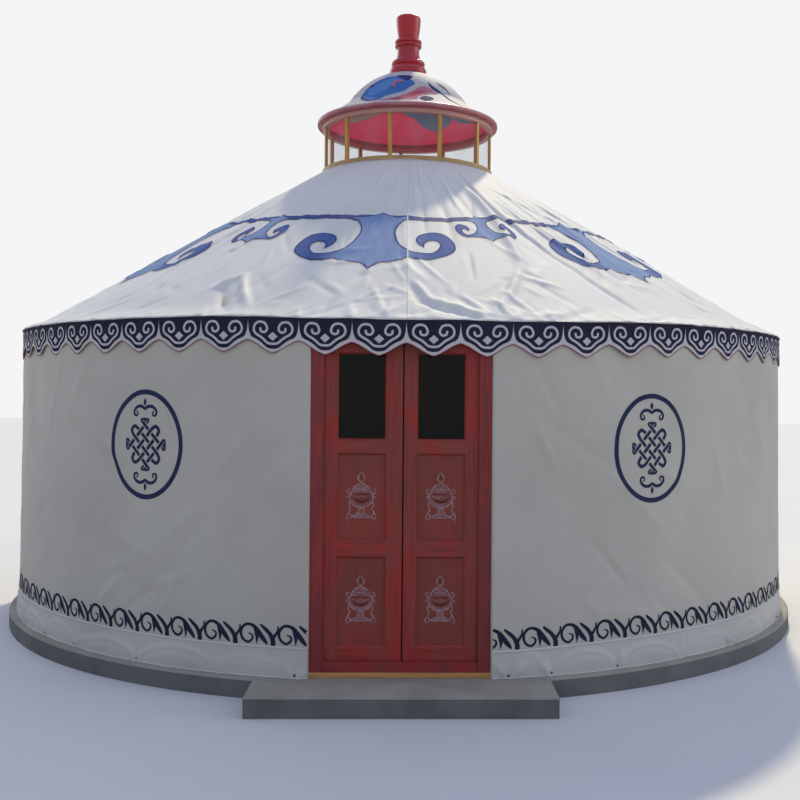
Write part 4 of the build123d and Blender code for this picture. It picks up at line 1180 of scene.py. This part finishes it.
lath_wood = oiled("lath_wood", (0.50, 0.27, 0.11), (0.33, 0.16, 0.06), (30, 30, 9))
pole_wood = oiled("pole_wood", (0.50, 0.24, 0.09), (0.32, 0.13, 0.045), (26, 26, 26))
post_wood = oiled("post_wood", (0.80, 0.44, 0.09), (0.58, 0.29, 0.06), (60, 60, 4), 0.4, 0.2)
ring_wood = oiled("ring_wood", (0.66, 0.42, 0.17), (0.46, 0.28, 0.12), (12, 12, 90), 0.5, 0.1)
dress(lath_wood, *[name for name in nodes if name.startswith("lattice")])
dress(pole_wood, "roof_poles")
dress(post_wood, "crown_posts")
dress(ring_wood, "crown_ring")
print("wood of the laths, poles, posts and ring")

# %% Clear film, cap rim and finial
film = Finish("crown_film", (0.80, 0.83, 0.86), 0.16, IOR=1.4)
wrinkle = film.streaks((6, 6, 11), 4.0, 0.6, 1.2)
film.set("Normal", film.bump(wrinkle, 0.006, 0.8))
film.see_through((0.93, 0.94, 0.95), film.ramp(film.spots(5.0, 5.0), 0.3, 0.8, 0.02, 0.09))
dress(film.material, "crown_panes")


def painted(name, fresh, faded, rough, coat=0.25, glow=0.0):
    paint = Finish(name, fresh, rough, Coat_Weight=coat, Coat_Roughness=0.2, Emission_Strength=glow,
                   Emission_Color=(*fresh, 1), Specular_IOR_Level=0.5 if coat else 0.1)
    patches = paint.spots(7.0, 6.0, 0.62)
    dust = paint.spots(46.0, 5.0, 0.7)
    tone = paint.mix(paint.ramp(patches, 0.35, 0.7), fresh, faded)
    ashen = [0.5 * c + 0.12 for c in faded]
    paint.set("Base Color", paint.mix(paint.ramp(dust, 0.55, 0.8, 0.0, 0.35), tone, ashen))
    paint.set("Roughness", paint.ramp(dust, 0.3, 0.8, rough - 0.05, rough + 0.18))
    return paint.set("Normal", paint.bump(dust, 0.0006, 0.5)).material


# Lighter where it faces up and darker red on its sides and below: painted light and shade of a lit rolled edge.
rim = Finish("cap_rim_paint", (0.60, 0.26, 0.31), 0.5, Coat_Weight=0.25, Coat_Roughness=0.2)
rim_patches = rim.ramp(rim.spots(9.0, 6.0, 0.62), 0.35, 0.7)
rim_top_painted_light = rim.mix(rim_patches, (0.66, 0.30, 0.36), (0.70, 0.42, 0.46))
rim_side_painted_shade = rim.mix(rim_patches, (0.36, 0.065, 0.085), (0.42, 0.12, 0.14))
rim.set("Base Color", rim.mix(rim.ramp(rim.facing_up(), -0.25, 0.4), rim_side_painted_shade, rim_top_painted_light))
dress(rim.material, "cap_rim")
dress(painted("top_ring_paint", (0.76, 0.37, 0.35), (0.62, 0.36, 0.29), 0.5), "crown_top_ring")
dress(painted("finial_lacquer", (0.59, 0.016, 0.030), (0.46, 0.025, 0.040), 0.3, 0.4), "finial")
print("crown film, cap rim, upper ring and finial")

# %% [markdown]
# ## The painted cap
# The cap is white above with cloud scrolls in blue and red, and red below with darker clouds, which show
# through the panes. The dome curves both ways, so a flat drawing is lifted onto it: the CAD cap gives its
# height at every distance from the axis, above and below. Its red underside and the clouds painted under it
# glow faintly: painted light, which stands for the light that real film would scatter up to it.

# %% Cap surfaces
def cap_profile(facing_up):
    mesh, found = nodes["cap_dome"].data, {}
    for face in mesh.polygons:
        if face.normal.z > 0.15 if facing_up else face.normal.z < -0.15:
            for corner in face.vertices:
                place = mesh.vertices[corner].co
                found[round(math.hypot(place.x, place.y), 4)] = place.z
    radii = np.array(sorted(found))
    return radii, np.array([found[r] for r in radii])


def lay_on_cap(profile, lift):
    radii, heights = profile

    def lay(points, turn):
        radius = np.hypot(points[:, 0], points[:, 1])
        bearing = np.arctan2(points[:, 0], -points[:, 1]) + math.radians(turn)
        height = np.interp(radius, radii, heights)
        slope = (np.interp(radius + 0.01, radii, heights) - np.interp(radius - 0.01, radii, heights)) / 0.02
        size = np.sqrt(1 + slope ** 2)
        out = radius - slope / size * lift
        return np.stack([out * np.sin(bearing), -out * np.cos(bearing), height + lift / size], axis=1)
    return lay


above, below = cap_profile(True), cap_profile(False)
cap = Finish("cap_paint", (0.62, 0.60, 0.64), 0.65, Emission_Strength=0.26, Specular_IOR_Level=0.2)
cap_patches = cap.ramp(cap.spots(8.0, 6.0, 0.62), 0.35, 0.7)
upper = cap.mix(cap_patches, (0.64, 0.62, 0.66), (0.54, 0.50, 0.56))
lower = cap.mix(cap_patches, (0.80, 0.040, 0.11), (0.66, 0.040, 0.10))
is_upper = cap.ramp(cap.facing_up(), -0.05, 0.05)
cap.set("Base Color", cap.mix(is_upper, lower, upper))
cap.set("Emission Color", cap.mix(is_upper, (1.0, 0.09, 0.19), (0.0, 0.0, 0.0)))
cap.set("Normal", cap.bump(cap.spots(50.0, 5.0), 0.0006, 0.5))
dress(cap.material, "cap_dome")
print("cap from", round(above[0].min(), 3), "to", round(above[0].max(), 3))


# %% Cap clouds
def polar(points):
    """Bearing in degrees and distance from the axis to flat coordinates seen from above."""
    bearing, radius = np.transpose(points)
    return around(bearing, radius, 0.0)[:, :2]


def patch_of(*places):
    return curve(polar(places), closed=True)


cloud = patch_of((-44.7, .479), (-34, .552), (-24.8, .601), (-17.4, .533), (-7.6, .487), (-0.2, .446),
                 (7.1, .415), (5.9, .391), (-2.2, .355), (-12.6, .336), (-23.7, .333), (-32.5, .35),
                 (-41.9, .394), (-46.8, .435))
cloud_light = patch_of((-40, .440), (-30, .39), (-20, .365), (-8, .375), (-16, .425), (-24, .47), (-32, .50))
crest_patch = patch_of((-13, .325), (5.5, .330), (5, .352), (-0.4, .387), (-8, .358))
rose = patch_of((-20.2, .606), (-10.7, .568), (-0.1, .495), (8.1, .445), (15, .427), (22.7, .44), (28, .476),
                (18.6, .496), (9, .536), (5.8, .61), (-6, .635))
rose_core = patch_of((-12, .60), (-4, .555), (4, .50), (11, .465), (18, .455), (10, .50), (2, .56), (-4, .61))
eye = patch_of((8.5, .575), (13, .535), (17, .535), (19.5, .568), (15, .622), (11, .628))
curl = stroke(polar([(-2.5, .398), (-6.5, .388), (-11, .392), (-14, .410), (-13, .436)]),
              [.004, .014, .022, .026, .010])
lash = stroke(polar([(22.5, .390), (24.5, .425), (30, .448), (34.3, .470), (34.9, .53), (37.8, .60), (40.5, .65)]),
              [.006, .022, .020, .018, .014, .014, .006])
lash_two = stroke(polar([(34.5, .375), (38, .400), (42, .420), (43.5, .455)]), [.004, .016, .014, .004])
cloud_mark = stroke(polar([(-43, .415), (-39, .408), (-36, .415)]), [.004, .014, .004])
cloud_edge = stroke(polar([(-46, .45), (-42, .50), (-34, .556), (-25, .608), (-18, .545)]),
                    [.004, .020, .020, .016, .004])
cap_blue, cap_pale_blue, cap_navy, cap_rose, cap_deep_rose = [
    painted(f"cap_{name}_paint", fresh, faded, 0.75, 0) for name, fresh, faded in (
        ("blue", (0.065, 0.18, 0.56), (0.09, 0.22, 0.55)), ("pale_blue", (0.12, 0.28, 0.68), (0.16, 0.32, 0.66)),
        ("navy", (0.040, 0.042, 0.16), (0.07, 0.07, 0.20)), ("rose", (0.54, 0.17, 0.25), (0.58, 0.28, 0.35)),
        ("deep_rose", (0.48, 0.07, 0.14), (0.50, 0.14, 0.20)))]
for name, shapes, paint, lift in (
        ("cap_clouds", [cloud], cap_blue, 0.0010), ("cap_rose_fields", [rose], cap_rose, 0.0009),
        ("cap_cloud_lights", [cloud_light], cap_pale_blue, 0.0018), ("cap_curls", [curl], cap_rose, 0.0024),
        ("cap_rose_cores", [rose_core], cap_deep_rose, 0.0017), ("cap_crests", [crest_patch], cap_navy, 0.0021),
        ("cap_dark_strokes", [eye, lash, lash_two, cloud_mark, cloud_edge], cap_navy, 0.0024)):
    copies = laid_copies(fill(shapes, step=0.02), lay_on_cap(above, lift), (0, 120, 240))
    make_piece(name, *copies, paint, slot="cap_paint")
print("cap clouds painted above")

# %% Clouds under the cap
under_cloud = patch_of((184.5, .381), (174, .376), (163, .383), (145, .395), (127.4, .419), (131.6, .464),
                       (142.5, .497), (153.5, .523), (165.9, .466), (171.3, .432), (184.3, .405))
under_dark = patch_of((129, .445), (116, .47), (103, .52), (112, .525), (122, .49))
under_ash = patch_of((-91.7, .478), (-112, .440), (-132, .408), (-150.4, .393), (-144.8, .418), (-130.2, .466),
                     (-115.6, .519), (-100, .51))
# The clouds under the cap glow faintly too: painted light, as on the red underside.
shade_paint = painted("cap_under_teal_paint", (0.15, 0.25, 0.36), (0.22, 0.30, 0.38), 0.75, 0, 0.2)
ash_paint = painted("cap_under_ash_paint", (0.44, 0.36, 0.32), (0.50, 0.40, 0.36), 0.75, 0, 0.2)
for name, shapes, paint in (("cap_under_clouds", [under_cloud, under_dark], shade_paint),
                            ("cap_under_ash", [under_ash], ash_paint)):
    copies = laid_copies(turned_over(fill(shapes, step=0.02)), lay_on_cap(below, -0.0030), (0, 180))
    make_piece(name, *copies, paint, slot="cap_paint")
print("cap clouds painted below")

# %% [markdown]
# ## Light, floor and background
# The yurt stands on a plain pale floor under plain light. The sky is a soft fill, bluer overhead. One lamp,
# like a hazy sun, stands high behind the yurt and a little to the right, so the roof is bright, the cap's
# shadow falls down the front of the roof and the wall is in open shade. The floor and the background are
# pale only to the camera, so they throw no extra light on the wall. Two soft low lamps at the sides
# brighten the wall's far edges.

# %% Stage and lamps
floor_finish = Finish("pale_floor", (0.42, 0.42, 0.42), 0.8)
seen = floor_finish.add("ShaderNodeLightPath", "Is Camera Ray")
cast = floor_finish.spots(0.7, 4.0)
for_camera = floor_finish.mix(floor_finish.ramp(cast, 0.3, 0.7), (0.80, 0.80, 0.80), (0.77, 0.77, 0.78))
floor_finish.set("Base Color", floor_finish.mix(seen, (0.36, 0.36, 0.36), for_camera))
bpy.ops.mesh.primitive_circle_add(vertices=96, radius=60, fill_type="NGON", location=(0, 0, 0))
floor = bpy.context.object
floor.name = "floor"
floor.data.materials.append(floor_finish.material)

world = bpy.data.worlds.new("studio")
scene.world = world
world.use_nodes = True
air = Tree(world.node_tree)
shows = air.math("MAXIMUM", air.add("ShaderNodeLightPath", "Is Camera Ray"),
                 air.add("ShaderNodeLightPath", "Is Transmission Ray"))
sky = air.add("ShaderNodeValToRGB", "Color", inputs={
    "Fac": air.axis("Z", air.add("ShaderNodeTexCoord", "Generated"))})
low_sky, high_sky = sky.node.color_ramp.elements
low_sky.color, high_sky.color = (1, 0.985, 0.94, 1), (0.74, 0.92, 1.42, 1)
sky_fill, sky_seen = 0.47, 0.92
background = air.tree.nodes["Background"]
air.give(background.inputs["Color"], air.mix(shows, sky, (0.985, 0.99, 1.0)))
air.give(background.inputs["Strength"], air.add("ShaderNodeMapRange", "Result", inputs={
    "Value": shows, "To Min": sky_fill, "To Max": sky_seen}))


def lamp(name, energy, angle, colour, height, bearing):
    """A far lamp that shines from a height and a bearing, both in degrees."""
    light = bpy.data.lights.new(name, "SUN")
    light.energy, light.angle, light.color = energy, math.radians(angle), colour
    holder = bpy.data.objects.new(name, light)
    scene.collection.objects.link(holder)
    height = math.radians(height)
    shines_from = Vector(around(bearing, math.cos(height), math.sin(height)))
    holder.rotation_euler = shines_from.to_track_quat("Z", "Y").to_euler()


lamp("key_lamp", energy=2.25, angle=3, colour=(1.0, 0.88, 0.60), height=45, bearing=166)
lamp("right_lamp", energy=0.46, angle=40, colour=(1.0, 1.0, 1.0), height=15, bearing=92)
lamp("left_lamp", energy=0.40, angle=40, colour=(1.0, 1.0, 1.0), height=15, bearing=-140)
print("key lamp from 166 degrees, soft lamps from 92 and -140")
